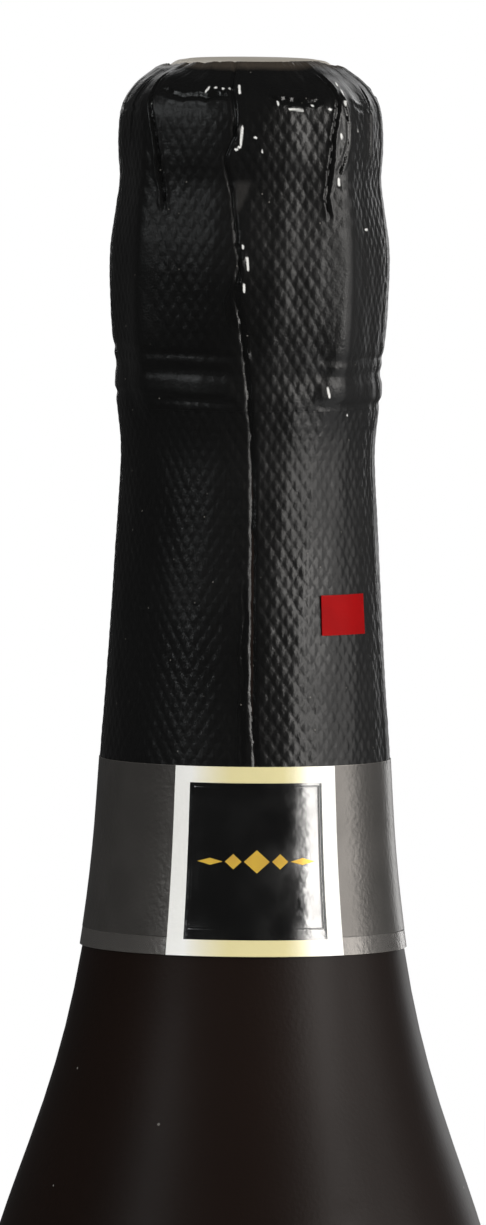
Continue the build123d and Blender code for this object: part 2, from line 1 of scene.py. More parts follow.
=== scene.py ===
# %% [markdown]
# # A half bottle of sparkling wine, foiled and wired
# The CAD model gives every size and place. This script loads it as a fixed frame and
# gives each visible piece its looks: crumpled and embossed foil, round twisted wires,
# satin glass, a stamped label. Everything is in metres, in the CAD model's own frame.
# The front of the label faces -Y, so a turn is counted from there, to the right.

# %% Load the frame
import math

import bmesh
import bpy
import numpy as np
from mathutils import Matrix, Vector


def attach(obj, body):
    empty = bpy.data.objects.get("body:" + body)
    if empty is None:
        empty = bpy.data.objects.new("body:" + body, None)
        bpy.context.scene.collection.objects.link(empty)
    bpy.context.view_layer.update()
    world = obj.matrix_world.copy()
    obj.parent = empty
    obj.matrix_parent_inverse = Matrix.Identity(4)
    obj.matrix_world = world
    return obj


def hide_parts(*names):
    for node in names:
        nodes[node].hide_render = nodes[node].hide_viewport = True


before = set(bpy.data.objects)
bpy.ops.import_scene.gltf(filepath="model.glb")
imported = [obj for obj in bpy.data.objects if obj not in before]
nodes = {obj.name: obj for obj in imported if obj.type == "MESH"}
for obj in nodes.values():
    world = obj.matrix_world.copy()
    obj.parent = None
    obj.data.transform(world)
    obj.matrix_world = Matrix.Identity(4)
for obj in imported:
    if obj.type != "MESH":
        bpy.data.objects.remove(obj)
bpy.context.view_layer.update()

MM = 0.001

# %% [markdown]
# Two small helpers serve the whole script. One puts a new object in the scene, and the
# other turns what was built with the mesh operators into a mesh.

# %% Objects and meshes
def place_in_scene(name, data):
    """A new object for a mesh, a light or a camera, linked to the scene."""
    placed = bpy.data.objects.new(name, data)
    bpy.context.scene.collection.objects.link(placed)
    return placed


def as_mesh(name, bm):
    """The mesh of what was built with the mesh operators."""
    mesh = bpy.data.meshes.new(name)
    bm.to_mesh(mesh)
    bm.free()
    return mesh


# %% [markdown]
# ## The camera
# The photograph is taken from far away, a little above the horizon, and its picture
# leans by half a degree. Its scale is 7.7 picture points to a millimetre, so a long
# lens nearly three metres away gives the same picture. The lens is worked out from the
# height of the field, because the sensor's width fits the picture's long side.

# %% Camera
PHOTO_WIDTH, PHOTO_HEIGHT = 486, 1225
POINTS_PER_MM = 7.7
MOUTH_POINT_Y = 186.0
MOUTH_Z = 248.0
AXIS_POINT_X = 246.3
CAMERA_DISTANCE = 2.8
CAMERA_ELEVATION = math.radians(3.5)
CAMERA_ROLL = math.radians(0.54)

field_height = PHOTO_HEIGHT / POINTS_PER_MM * MM
centre_z = (MOUTH_Z - (PHOTO_HEIGHT / 2 - MOUTH_POINT_Y) / POINTS_PER_MM) * MM
centre_x = (PHOTO_WIDTH / 2 - AXIS_POINT_X) / POINTS_PER_MM * MM
camera = bpy.data.cameras.new("camera")
camera.sensor_width = 36.0
camera.lens = camera.sensor_width * CAMERA_DISTANCE / field_height
camera_object = place_in_scene("camera", camera)
back = Vector((0, -math.cos(CAMERA_ELEVATION), math.sin(CAMERA_ELEVATION)))
camera_object.location = Vector((centre_x, 0, centre_z)) + back * CAMERA_DISTANCE
facing = (-back).to_track_quat("-Z", "Y").to_matrix()
camera_object.rotation_euler = (facing @ Matrix.Rotation(CAMERA_ROLL, 3, "Z")).to_euler()
bpy.context.scene.camera = camera_object
print("lens in mm:", round(camera.lens), "field in mm:", round(field_height / MM, 1))

# %% [markdown]
# ## Shared surface effects
# Three effects come back on several finishes: fine grain that breaks up a gloss, dust
# specks, and a slow drift of tone. Each is a node group that is built once and placed in
# the materials with its own values. The groups read Object coordinates, which are the
# CAD frame's own, so nothing slides when a piece moves. Small helpers place and link
# the nodes, so that a material below reads as a list of what it mixes.

# %% Node helpers
def new_group(name, inputs, outputs):
    """An empty node group with named float inputs and outputs of a socket type each."""
    tree = bpy.data.node_groups.new(name, "ShaderNodeTree")
    for label, value in inputs.items():
        socket = tree.interface.new_socket(label, in_out="INPUT", socket_type="NodeSocketFloat")
        socket.default_value = value
    for label, kind in outputs.items():
        tree.interface.new_socket(label, in_out="OUTPUT", socket_type=kind)
    start = tree.nodes.new("NodeGroupInput")
    end = tree.nodes.new("NodeGroupOutput")
    return tree, start, end


def add_node(tree, kind, links=(), **values):
    """A node with its properties or inputs set, linked from pairs of a socket and an input."""
    node = tree.nodes.new(kind)
    for name, value in values.items():
        if hasattr(node, name):
            setattr(node, name, value)
        else:
            node.inputs[name.replace("_", " ")].default_value = value
    for socket, target in links:
        tree.links.new(socket, node.inputs[target])
    return node


def calculate(tree, operation, *values):
    """The result of a Math node on sockets or plain numbers."""
    node = add_node(tree, "ShaderNodeMath", operation=operation)
    for socket, value in zip(node.inputs, values):
        if isinstance(value, bpy.types.NodeSocket):
            tree.links.new(value, socket)
        else:
            socket.default_value = value
    return node.outputs[0]


def spread(tree, mask, low, high, to_low, to_high):
    """A value mapped from one range to another, held at its ends."""
    ends = {"From_Min": low, "From_Max": high, "To_Min": to_low, "To_Max": to_high}
    return add_node(tree, "ShaderNodeMapRange", [(mask, "Value")], **ends).outputs["Result"]


def texture(tree, kind, start, **values):
    """A texture over the Object coordinates, with its scale from the group's input."""
    place = add_node(tree, "ShaderNodeTexCoord").outputs["Object"]
    return add_node(tree, kind, [(place, "Vector"), (start.outputs["Scale"], "Scale")], **values)


def grain_group():
    """Fine noise as a normal for the gloss."""
    tree, start, end = new_group(
        "fine_grain", {"Scale": 900.0, "Depth": 0.1}, {"Normal": "NodeSocketVector"}
    )
    noise = texture(tree, "ShaderNodeTexNoise", start, Detail=3.0)
    links = [(noise.outputs["Fac"], "Height"), (start.outputs["Depth"], "Strength")]
    bump = add_node(tree, "ShaderNodeBump", links, Distance=0.0004)
    tree.links.new(bump.outputs["Normal"], end.inputs["Normal"])
    return tree


def specks_group():
    """Small pale dust specks: a mask that is 1 on a speck."""
    tree, start, end = new_group(
        "dust_specks", {"Scale": 260.0, "Amount": 0.06}, {"Mask": "NodeSocketFloat"}
    )
    cells = texture(tree, "ShaderNodeTexVoronoi", start)
    near = calculate(tree, "LESS_THAN", cells.outputs["Distance"], start.outputs["Amount"])
    tree.links.new(near, end.inputs["Mask"])
    return tree


def drift_group():
    """A slow change of tone over the piece, between 0 and 1."""
    tree, start, end = new_group("slow_drift", {"Scale": 30.0}, {"Mask": "NodeSocketFloat"})
    noise = texture(tree, "ShaderNodeTexNoise", start, Detail=2.0)
    tree.links.new(spread(tree, noise.outputs["Fac"], 0.35, 0.65, 0.0, 1.0), end.inputs["Mask"])
    return tree


groups = {"grain": grain_group(), "specks": specks_group(), "drift": drift_group()}
print("shared effects:", ", ".join(sorted(groups)))

# %% Material helper
def new_material(name, color, roughness, metallic=0.0, specular=0.5):
    """A Principled material with plain values, and its tree and shader to build on."""
    made = bpy.data.materials.new(name)
    made.use_nodes = True
    shader = made.node_tree.nodes["Principled BSDF"]
    shader.inputs["Base Color"].default_value = (*color, 1)
    shader.inputs["Roughness"].default_value = roughness
    shader.inputs["Metallic"].default_value = metallic
    shader.inputs["Specular IOR Level"].default_value = specular
    return made, made.node_tree, shader


def use_group(tree, name, **values):
    """A shared effect placed in a material with its own values."""
    node = tree.nodes.new("ShaderNodeGroup")
    node.node_tree = groups[name]
    for label, value in values.items():
        node.inputs[label].default_value = value
    return node.outputs[0]


def dress(tree, shader, grain, color=None, roughness=None):
    """Gives a shader a fine grain of a scale and a depth, and links what else is given."""
    normal = use_group(tree, "grain", Scale=grain[0], Depth=grain[1])
    for socket, name in ((normal, "Normal"), (color, "Base Color"), (roughness, "Roughness")):
        if socket is not None:
            tree.links.new(socket, shader.inputs[name])


def mix_colors(tree, mask, first, second):
    """A colour between two, by a mask; each is a colour or a socket."""
    node = tree.nodes.new("ShaderNodeMix")
    node.data_type = "RGBA"
    tree.links.new(mask, node.inputs["Factor"])
    for label, value in (("A", first), ("B", second)):
        socket = next(s for s in node.inputs if s.name == label and s.type == "RGBA")
        if isinstance(value, bpy.types.NodeSocket):
            tree.links.new(value, socket)
        else:
            socket.default_value = (*value, 1)
    return next(s for s in node.outputs if s.type == "RGBA")


def two_toned(name, color, roughness, drift_scale, tones, grain, dust=None, gloss=None, **values):
    """A finish that drifts between two tones; dust and a drift of its gloss are optional."""
    made, tree, shader = new_material(name, color, roughness, **values)
    drift = use_group(tree, "drift", Scale=drift_scale)
    color = mix_colors(tree, drift, *tones)
    if dust:
        scale, amount, tone = dust
        color = mix_colors(tree, use_group(tree, "specks", Scale=scale, Amount=amount), color, tone)
    dress(tree, shader, grain, color, spread(tree, drift, 0, 1, *gloss) if gloss else None)
    return made


def finish_with(node_name, made):
    """Gives a CAD node's material slots one finish."""
    mesh = nodes[node_name].data
    mesh.materials.clear()
    mesh.materials.append(made)


# %% [markdown]
# ## Light and background
# Black foil shows its shape only by what it mirrors. In the photograph a tall light
# stands to the right, a weaker one to the left, and the studio is bright on the right
# side and dark elsewhere. So soft panels stand on both sides and behind, and grey cards,
# which only reflections see, stand where the foil and the glass mirror something dark.
# Two more panels give plain light and are not mirrored. The world looks white to the
# camera and in reflections, and gives only a little even light.

# %% World, light panels and cards
PANEL_DISTANCE = 1.2
UNMIRRORED = ("panel_top", "panel_fill")
PANELS = [
    # name, azimuth, elevation, width, height, radiance, colour
    ("panel_right", 54, 10, 0.28, 1.0, 7.5, (1.0, 0.97, 0.93)),
    ("panel_side", 84, 10, 0.34, 0.9, 1.5, (1.0, 0.96, 0.91)),
    ("panel_left", -50, 25, 0.16, 0.6, 5.0, (0.95, 0.99, 1.0)),
    ("panel_back_right", 155, 15, 0.30, 0.9, 1.8, (1, 1, 1)),
    ("panel_back_left", -170, 18, 0.16, 0.9, 1.6, (1, 1, 1)),
    ("panel_top", 10, 80, 0.5, 0.5, 2.0, (1, 1, 1)),
    ("panel_fill", -12, 18, 1.0, 1.0, 1.8, (1.0, 0.98, 0.95)),
]
CARD_DISTANCE, CARD_HEIGHT, RIGHT_HEIGHT = 1.6, 1.7, 1.0
CARDS = [
    # name, azimuth from, azimuth to, height from, height to, grey
    ("card_left", -180, -62, 0, CARD_HEIGHT, 0.050),
    ("card_front", -62, 43, 0, CARD_HEIGHT, 0.018),
    ("card_right", 43, 98, 0, RIGHT_HEIGHT, 0.75),
    ("card_side", 98, 122, 0, RIGHT_HEIGHT, 0.22),
    ("card_right_high", 43, 122, RIGHT_HEIGHT, CARD_HEIGHT, 0.04),
    ("card_back", 122, 180, 0, CARD_HEIGHT, 0.12),
]
CARD_STEPS = 48
TOP_CARD_GREY = 0.06
FLOOR_CARD_FROM = 0.12
WORLD_GREY = 0.25


def outwards(azimuth, elevation):
    """The direction from the bottle at an azimuth, counted to the right from the front."""
    turn, rise = math.radians(azimuth), math.radians(elevation)
    level = math.cos(rise)
    return Vector((math.sin(turn) * level, -math.cos(turn) * level, math.sin(rise)))


def add_panel(name, azimuth, elevation, width, height, radiance, color):
    """A soft light panel that faces the bottle's neck."""
    light = bpy.data.lights.new(name, "AREA")
    light.shape = "RECTANGLE"
    light.size, light.size_y = width, height
    light.energy = radiance * width * height * math.pi
    light.color = color
    panel = place_in_scene(name, light)
    away = outwards(azimuth, elevation)
    panel.location = Vector((0, 0, centre_z)) + away * PANEL_DISTANCE
    panel.rotation_euler = (-away).to_track_quat("-Z", "Y").to_euler()
    panel.visible_camera = False
    panel.visible_glossy = name not in UNMIRRORED


def bent_card(azimuth_from, azimuth_to, near, far):
    """A card bent round the bottle between two lines, each a distance and a height."""
    bm = bmesh.new()
    lines = []
    for distance, height in (near, far):
        line = []
        for step in range(CARD_STEPS + 1):
            azimuth = azimuth_from + (azimuth_to - azimuth_from) * step / CARD_STEPS
            line.append(bm.verts.new(outwards(azimuth, 0) * distance + Vector((0, 0, height))))
        lines.append(line)
    low, high = lines
    for corners in zip(low, low[1:], high[1:], high):
        bm.faces.new(corners)
    return bm


def add_card(name, bm, grey):
    """A grey card that only reflections see."""
    mesh = as_mesh(name, bm)
    paint = bpy.data.materials.new(name)
    paint.use_nodes = True
    tree = paint.node_tree
    glow = add_node(tree, "ShaderNodeEmission", Color=(grey, grey, grey, 1))
    tree.links.new(glow.outputs[0], tree.nodes["Material Output"].inputs["Surface"])
    mesh.materials.append(paint)
    card = place_in_scene(name, mesh)
    card.visible_camera = False
    card.visible_diffuse = False
    card.visible_shadow = False


def seen_directly(tree):
    """1 for what the camera sees itself, in a mirror or through glass, and else 0."""
    rays = add_node(tree, "ShaderNodeLightPath").outputs
    seen = rays["Is Camera Ray"]
    for other in (rays["Is Glossy Ray"], rays["Is Transmission Ray"]):
        seen = calculate(tree, "MAXIMUM", seen, other)
    return seen


for row in PANELS:
    add_panel(*row)
for name, azimuth_from, azimuth_to, height_from, height_to, grey in CARDS:
    low, high = (CARD_DISTANCE, height_from), (CARD_DISTANCE, height_to)
    add_card(name, bent_card(azimuth_from, azimuth_to, low, high), grey)
    if height_from == 0:
        near, far = (FLOOR_CARD_FROM, MM), (CARD_DISTANCE, MM)
        add_card(name + "_low", bent_card(azimuth_from, azimuth_to, near, far), grey)
lid = bent_card(-180, 180, (0, CARD_HEIGHT), (CARD_DISTANCE, CARD_HEIGHT))
add_card("card_top", lid, TOP_CARD_GREY)

world = bpy.data.worlds.new("studio")
bpy.context.scene.world = world
world.use_nodes = True
world_tree = world.node_tree
background = world_tree.nodes["Background"]
background.inputs["Color"].default_value = (1, 1, 1, 1)
strength = spread(world_tree, seen_directly(world_tree), 0, 1, WORLD_GREY, 1.0)
world_tree.links.new(strength, background.inputs["Strength"])
bpy.context.scene.view_settings.view_transform = "Standard"
print("light panels:", len(PANELS))

# %% [markdown]
# ## The foil's shape
# The foil is thin metal, pleated and pressed round the wired cork. It is made as the
# real one is: a smooth skirt first, spun round the axis from an outline measured off
# the photograph, and then moved inwards and outwards where something lies under it or
# where it is folded. The outline is closed, with a dense outer wall for the relief and
# a plain inner wall, so the sheet has a real thickness at its edges.

# %% Outline of the foil
FOIL_OUTLINE = [
    # radius, height, from the torn edge down
    (11.0, 264.05), (11.9, 263.7), (12.66, 263.1), (13.5, 262.5), (14.2, 262.0), (14.8, 261.45),
    (15.3, 260.9), (15.75, 260.3), (16.1, 259.8), (16.45, 259.2), (16.8, 258.3), (17.05, 256.8),
    (17.2, 254.2), (17.14, 251.9), (16.97, 250.3), (16.9, 248.9), (17.08, 247.2), (17.34, 245.7),
    (17.55, 244.1), (17.79, 242.5), (18.0, 241.0), (18.12, 238.2), (18.1, 236.0), (18.0, 233.6),
    (17.9, 231.0), (17.67, 228.5), (17.4, 226.0), (17.12, 223.9), (17.2, 222.3), (17.2, 221.0),
    (17.0, 219.4), (16.8, 217.6), (16.6, 216.1), (16.48, 214.5), (16.43, 212.9), (16.5, 211.0),
    (16.6, 209.2), (16.75, 206.7), (16.9, 203.6), (17.27, 197.4), (17.66, 191.1), (18.05, 184.9),
    (18.5, 178.6), (18.75, 174.6), (18.97, 171.0), (19.3, 166.5), (19.7, 161.5), (20.25, 156.5),
    (20.9, 151.4),
]
TEAR_Z, TEAR_GAP = 219.6, 0.005
LABEL_TOP_Z = 173.8
FOIL_SHEET = 0.15
DIAMONDS_ROUND = 72
COLUMNS_PER_DIAMOND = 7
ROW_STEP = 0.3125
DOME_ROW_STEP = 0.22
DOME_RUN = 8.0
WALL_ROW_STEP = 2.0
OUTLINE_STEP = 0.1
OUTLINE_SMOOTHING = 0.6

outline = np.array(FOIL_OUTLINE)
runs = np.concatenate([[0], np.cumsum(np.hypot(*np.diff(outline, axis=0).T))])


def smoothed(values, step, width):
    """Evenly spaced values smoothed over a width, with both ends kept in place."""
    count = int(3 * width / step)
    weights = np.exp(-((np.arange(-count, count + 1) * step / width) ** 2))
    padded = np.pad(values, count, mode="reflect", reflect_type="odd")
    return np.convolve(padded, weights / weights.sum(), mode="valid")


fine_runs = np.arange(0, runs[-1], OUTLINE_STEP)
fine_line = np.stack([
    smoothed(np.interp(fine_runs, runs, column), OUTLINE_STEP, OUTLINE_SMOOTHING)
    for column in outline.T
], axis=1)
along = np.gradient(fine_line, OUTLINE_STEP, axis=0)
along /= np.linalg.norm(along, axis=1, keepdims=True)
fine_normals = np.stack([-along[:, 1], along[:, 0]], axis=1)


def along_line(run, columns):
    """Values kept along the outline, read at a run along it."""
    return np.stack([np.interp(run, fine_runs, column) for column in columns.T], axis=-1)


def smooth_line(run):
    """The outline's radius and height at a run along it."""
    return along_line(run, fine_line)


def run_at_height(z):
    """The run along the outline at a height."""
    return float(np.interp(-z, -fine_line[:, 1], fine_runs))


print("outline of the foil in mm:", round(float(runs[-1]), 1))

# %% Spin a sheet round the axis
def spaced(start, end, step):
    """Values from one to another, both kept, about a step apart."""
    return list(np.linspace(start, end, round(abs(end - start) / step) + 1))


def spin_rim(bm, rim, steps, closed=True, angle=math.tau):
    """Spins a line of points round the axis; a full turn closes on its start."""
    ends = zip(rim, rim[1:] + rim[:1]) if closed else zip(rim, rim[1:])
    edges = [bm.edges.new(pair) for pair in ends]
    return bmesh.ops.spin(
        bm, geom=rim + edges, cent=(0, 0, 0), axis=(0, 0, 1), steps=steps, angle=angle,
        use_merge=angle == math.tau,
    )


def spin_sheet(name, run_from, run_to, plain_from=None):
    """A closed sheet spun from a stretch of the outline; its points keep their run and wall."""
    outer = spaced(run_from, DOME_RUN, DOME_ROW_STEP)[:-1] if run_from < DOME_RUN else []
    outer += spaced(max(run_from, DOME_RUN), plain_from or run_to, ROW_STEP)
    if plain_from:
        outer += spaced(plain_from, run_to, WALL_ROW_STEP)[1:]
    inner = spaced(run_to, run_from, WALL_ROW_STEP)
    bm = bmesh.new()
    run_layer = bm.verts.layers.float.new("run")
    wall_layer = bm.verts.layers.float.new("wall")
    rim = []
    for wall, stations in ((0.0, outer), (1.0, inner)):
        for run in stations:
            radius, z = smooth_line(run)
            vert = bm.verts.new((0, -radius * MM, z * MM))
            vert[run_layer], vert[wall_layer] = run, wall
            rim.append(vert)
    spin_rim(bm, rim, DIAMONDS_ROUND * COLUMNS_PER_DIAMOND)
    return as_mesh(name, bm)


def read_points(mesh):
    """A sheet's points as turns in degrees, runs and walls."""
    count = len(mesh.vertices)
    points, run, wall = np.zeros(count * 3), np.zeros(count), np.zeros(count)
    mesh.vertices.foreach_get("co", points)
    mesh.attributes["run"].data.foreach_get("value", run)
    mesh.attributes["wall"].data.foreach_get("value", wall)
    points = points.reshape(-1, 3)
    return np.degrees(np.arctan2(points[:, 0], -points[:, 1])), run, wall


# %% [markdown]
# What lies under the foil lifts it: the four twisted legs of the wire hood and, at the
# back, its folded key. The foil is drawn tight over a leg, so on both sides it runs
# straight from the wire's crest until it meets the round of the cap or the ring.

# %% What lies under the foil
LEG_TURNS = (42, 132, -138, -48)
LEG_LIFTS = [
    # height, lift of the crest over the smooth outline
    (264.0, 0.0), (263.3, 0.25), (262.6, 0.65), (261.0, 0.85), (259.4, 1.3), (257.5, 1.2),
    (254.2, 1.1), (249.0, 1.7), (244.0, 1.5), (240.4, 1.35), (236.0, 1.3), (231.0, 1.45),
    (229.0, 1.5), (226.0, 1.4), (223.0, 1.15), (221.4, 0.95), (220.2, 0.6), (218.6, 0.2),
    (216.5, 0.0),
]
LIFT_SMOOTHING = 0.8
CREST_ROUNDING = 0.9
# turn of its middle, half its width, height from and to, radius over it
KEY_PAD = (180, 5.0, 220.6, 244.6, 19.42)

leg_heights, leg_amounts = np.array(LEG_LIFTS).T
fine_heights = np.arange(leg_heights[-1] - 2, leg_heights[0] + 1, OUTLINE_STEP)
fine_lifts = smoothed(
    np.interp(-fine_heights, -leg_heights, leg_amounts), OUTLINE_STEP, LIFT_SMOOTHING
)


def wrap(turn):
    """A turn brought to -180 to 180 degrees."""
    return (turn + 180) % 360 - 180


def smooth_step(value, low, high):
    """0 below low, 1 above high and a soft curve between."""
    t = np.clip((value - low) / (high - low), 0, 1)
    return t * t * (3 - 2 * t)


def bell(distance, width):
    """A smooth bell of height 1 over a distance from its middle."""
    return np.exp(-((distance / width) ** 2))


def between(value, low, high, edge):
    """1 between two values and 0 outside, with soft edges."""
    past_high = smooth_step(value, high - edge, high + edge)
    return smooth_step(value, low - edge, low + edge) * (1 - past_high)


def wobble(value, seed):
    """A smooth irregular wave between about -1 and 1, the same on every run."""
    random = np.random.default_rng(seed)
    total = np.zeros_like(value)
    for octave in range(4):
        pace = random.uniform(0.6, 1.4) * 1.9**octave
        total += np.sin(value * pace + random.uniform(0, math.tau)) / 1.6**octave
    return total / 2.2


def drawn_tight(turn, leg_turn, radius, lift):
    """How far foil drawn tight over a leg stands off the round."""
    reach = np.arccos(radius / (radius + lift))
    rounding = CREST_ROUNDING / radius
    off = np.sqrt(np.radians(wrap(turn - leg_turn)) ** 2 + rounding**2) - rounding
    return radius / np.cos(np.clip(reach - off, 0, None)) - radius


print("largest lift over a leg in mm:", round(float(fine_lifts.max()), 2))

# %% [markdown]
# Folds and creases are lines on the foil, read off the photograph for the front and
# made in the same manner for the back. Each has a course of turns against heights, a
# depth in millimetres and a width. The seam is where the foil's end overlaps its start,
# so the foil is one sheet thicker beside it.

# %% Folds and creases
SEAM = [
    (264.2, -10.5), (261.8, -9.5), (260.7, -8.8), (258.5, -7.0), (256.6, -6.6), (255.1, -6.7),
    (253.6, -9.2), (252.4, -10.9), (249.2, -8.9), (247.3, -7.1), (241.2, -5.0), (239.7, -3.6),
    (235.8, -4.3), (234.3, -5.2), (231.6, -3.2), (227.7, -1.6), (222.9, 0.2), (219.6, 0.9),
    (216.8, 1.8), (210, 2.9), (195, 3.0), (181.8, 3.1), (174, 4.6), (150, 5.5),
]
SEAM_BENDS = [
    # height, width
    (261.4, 0.5), (256.0, 0.9), (254.2, 0.6), (241.3, 0.3), (239.0, 0.8), (235.9, 0.4),
    (227.0, 0.6),
]
PLEATS = [
    # heights, turns, ridge, groove, width
    ((262.0, 250, 237.3, 233.3, 225.6, 219, 214.9, 197, 174),
     (81, 80, 80, 78, 79, 75, 75, 75.6, 78), 0.16, 0.30, 0.45),
    ((262.0, 240, 222, 205, 174), (166, 167, 170, 171, 172), 0.14, 0.24, 0.42),
    ((262.0, 240, 222, 205, 174), (-104, -101, -99, -97, -97), 0.16, 0.26, 0.45),
]
CREASES = [
    # heights, turns, depth, width
    ((262.4, 261.2, 259.3, 255.5, 249.7, 247.2, 244.6),
     (39.0, 40.0, 39.9, 36.6, 34.6, 33.1, 34.2), 0.26, 0.26),
    ((259.9, 256.4, 254.8, 250.6), (42.4, 43.8, 44.2, 38.5), 0.26, 0.32),
    ((258.0, 251.9), (65.1, 63.8), 0.20, 0.32), ((261.0, 258.7), (68.8, 66.0), 0.14, 0.3),
    ((262.2, 260.7, 256.9, 253.1, 249.6, 245.5),
     (-52, -50, -44.5, -42, -40.2, -37.8), 0.30, 0.30),
    ((262.0, 256.5, 254), (-66, -63, -63.5), 0.12, 0.3),
    ((262.5, 256, 246), (127, 126, 126.5), 0.36, 0.38), ((260.0, 250.0), (138, 138.5), 0.22, 0.34),
    ((262.5, 256, 245), (-144, -143.5, -143), 0.36, 0.38), ((260.0, 249.0), (-131, -132), 0.22, 0.34),
    ((197, 193, 189, 185, 181, 177, 174), (-1.2, -0.4, -1.6, -0.5, -1.7, -0.9, -1.2), 0.10, 0.3),
    ((237.5, 233.5, 230.5), (-4.9, -8.5, -5.5), 0.10, 0.34),
]
CRUMPLES = [
    # turn from, turn to, height, depth, width: where the foil gave way over the cap's rim
    (-45, -10, 260.15, 0.20, 0.38), (9, 33, 259.6, 0.18, 0.38), (-88, -57, 258.2, 0.14, 0.40),
    (50, 70, 258.6, 0.12, 0.34), (92, 122, 260.0, 0.18, 0.40), (140, 160, 259.8, 0.17, 0.40),
    (-170, -148, 260.1, 0.18, 0.40), (-128, -106, 259.9, 0.18, 0.40),
]
GLINTS = [
    # turn and height from, turn and height to: painted highlights along sharp folds
    (-22.2, 260.7, -21.5, 261.3), (-18.2, 261.3, -17.7, 261.3), (-14.2, 261.2, -13.9, 261.2),
    (-10.9, 261.3, -10.9, 261.3), (-6.0, 261.5, -5.5, 260.6), (-3.7, 256.4, -4.2, 254.1),
    (-4.6, 253.8, -6.8, 253.3), (-2.7, 241.0, -2.7, 240.8), (-1.1, 239.6, -0.5, 238.0),
    (-2.1, 236.0, -2.1, 235.2), (12.3, 259.6, 12.2, 259.2), (17.3, 258.6, 23.5, 258.5),
    (28.0, 259.0, 28.5, 259.0), (35.4, 258.4, 35.9, 258.4), (45.9, 261.4, 45.1, 261.1),
    (45.8, 260.5, 44.8, 259.9), (43.9, 259.1, 43.5, 258.8), (40.1, 255.4, 40.3, 254.8),
    (38.5, 249.7, 38.6, 248.8), (55.5, 242.8, 57.9, 243.0), (81.9, 259.2, 81.9, 258.9),
    (51.8, 255.8, 51.8, 255.7), (1.8, 255.0, 2.3, 255.0), (4.9, 253.3, 4.9, 253.2),
    (34.7, 222.6, 35.8, 221.5), (48.3, 219.1, 48.4, 219.0),
]
GLINT_WIDTH = 0.17
GLINT_RADIUS = 17.2
BELT_SPANS = [(-172, -7), (31, 172)]  # turn from, turn to
BELT_RIDGE = (220.95, 223.25, 0.16)  # height from, height to, rise
# height, depth, width
BELT_GROOVES = [(226.3, 0.17, 0.55), (220.35, 0.16, 0.45), (224.35, 0.10, 0.7)]
FACET = (-6.5, 0.5, 245.0, 249.2)  # turn from and to, height from and to
HOLLOW = (-9, 31)  # turn from, turn to
DOME_HEIGHTS = (256.5, 260)
DIAMOND_DEPTH = 0.095
print("folds and creases:", 1 + len(PLEATS) + len(CREASES) + len(CRUMPLES))

# %% Relief of the foil
def off_line(turn, z, radius, heights, turns, waver):
    """How far a point lies to the right of a line of turns against heights, in millimetres."""
    course = np.interp(-z, -np.array(heights), turns)
    return np.radians(wrap(turn - course)) * radius + waver


def relief_of_line(aside, depth, width):
    """A crease: a groove with a low bank on each side."""
    return depth * (0.5 * bell(np.abs(aside) - width * 1.5, width * 0.8) - bell(aside, width * 0.75))


def seam_relief(turn, z, radius):
    """The overlap at the front: a groove, a sheet's step on its right and a few sharp bends."""
    aside = off_line(turn, z, radius, *np.array(SEAM).T, 0.06 * wobble(z * 1.1, 7))
    bends = sum(bell(z - height, size) for height, size in SEAM_BENDS)
    step = 0.13 * smooth_step(aside, -0.15, 0.35) * np.exp(-np.clip(aside, 0, None) / 4.0)
    bent = 0.30 * np.clip(bends, 0, 1) * bell(aside - 0.32, 0.26)
    return step - 0.26 * bell(aside + 0.15, 0.30) + bent, bell(aside, 0.6)


def lifted(turn, z, radius):
    """What the legs and the key lift, and where that stretches the pattern flat."""
    move, flat = np.zeros(len(turn)), np.zeros(len(turn))
    lifts = np.interp(z, fine_heights, fine_lifts)
    for leg_turn in LEG_TURNS:
        move = np.maximum(move, drawn_tight(turn, leg_turn, radius, lifts))
        stretched = bell(np.radians(wrap(turn - leg_turn)) * radius, 3.0) * np.clip(lifts, 0, 1)
        flat = np.maximum(flat, stretched * between(z, 226, 243, 3))
    key_turn, key_half, key_low, key_high, key_radius = KEY_PAD
    pad = between(np.radians(wrap(turn - key_turn)) * radius, -key_half, key_half, 1.1)
    pad *= between(z, key_low, key_high, 1.3)
    move = np.maximum(move, pad * np.clip(key_radius - radius, 0, None))
    return move, np.maximum(flat, pad)


def creased(turn, z, radius, wall):
    """The seam, pleats, creases and crumples: how far they move the foil, and their folds."""
    fade = smooth_step(z, 168, 174)
    seam, beside = seam_relief(turn, z, radius)
    move, folded = fade * seam, fade * beside
    for heights, turns, ridge, groove, width in PLEATS:
        aside = off_line(turn, z, radius, heights, turns, 0.12 * wobble(z * 0.9, 7))
        move += fade * (ridge * bell(aside + width, width) - groove * bell(aside, width * 0.6))
        folded = np.maximum(folded, fade * bell(aside, width * 1.5))
    for index, (heights, turns, depth, width) in enumerate(CREASES):
        aside = off_line(turn, z, radius, heights, turns, 0.10 * wobble(z * 1.3, 20 + index))
        inside = between(z, min(heights), max(heights), 0.8)
        move += inside * relief_of_line(aside, depth, width)
        folded = np.maximum(folded, inside * bell(aside, width * 2))
    for index, (turn_from, turn_to, height, depth, width) in enumerate(CRUMPLES):
        bend = 0.30 * wobble(turn * 0.16, 40 + index) + 0.12 * wobble(turn * 0.6, 70 + index)
        off = z - height - bend
        inside = between(wrap(turn), turn_from, turn_to, 2.5)
        inside *= 1 + 0.35 * wobble(turn * 0.22, 60 + index)
        deep = relief_of_line(off, depth, width) * (1 - wall) - wall * depth * bell(off, 2.2)
        bulge = 0.22 * depth * wobble(turn * 0.33, 50 + index) * bell(off - 0.9, 0.9)
        move += inside * (deep + bulge)
        folded = np.maximum(folded, inside * bell(off - 0.4, width * 2.6))
    return move, folded


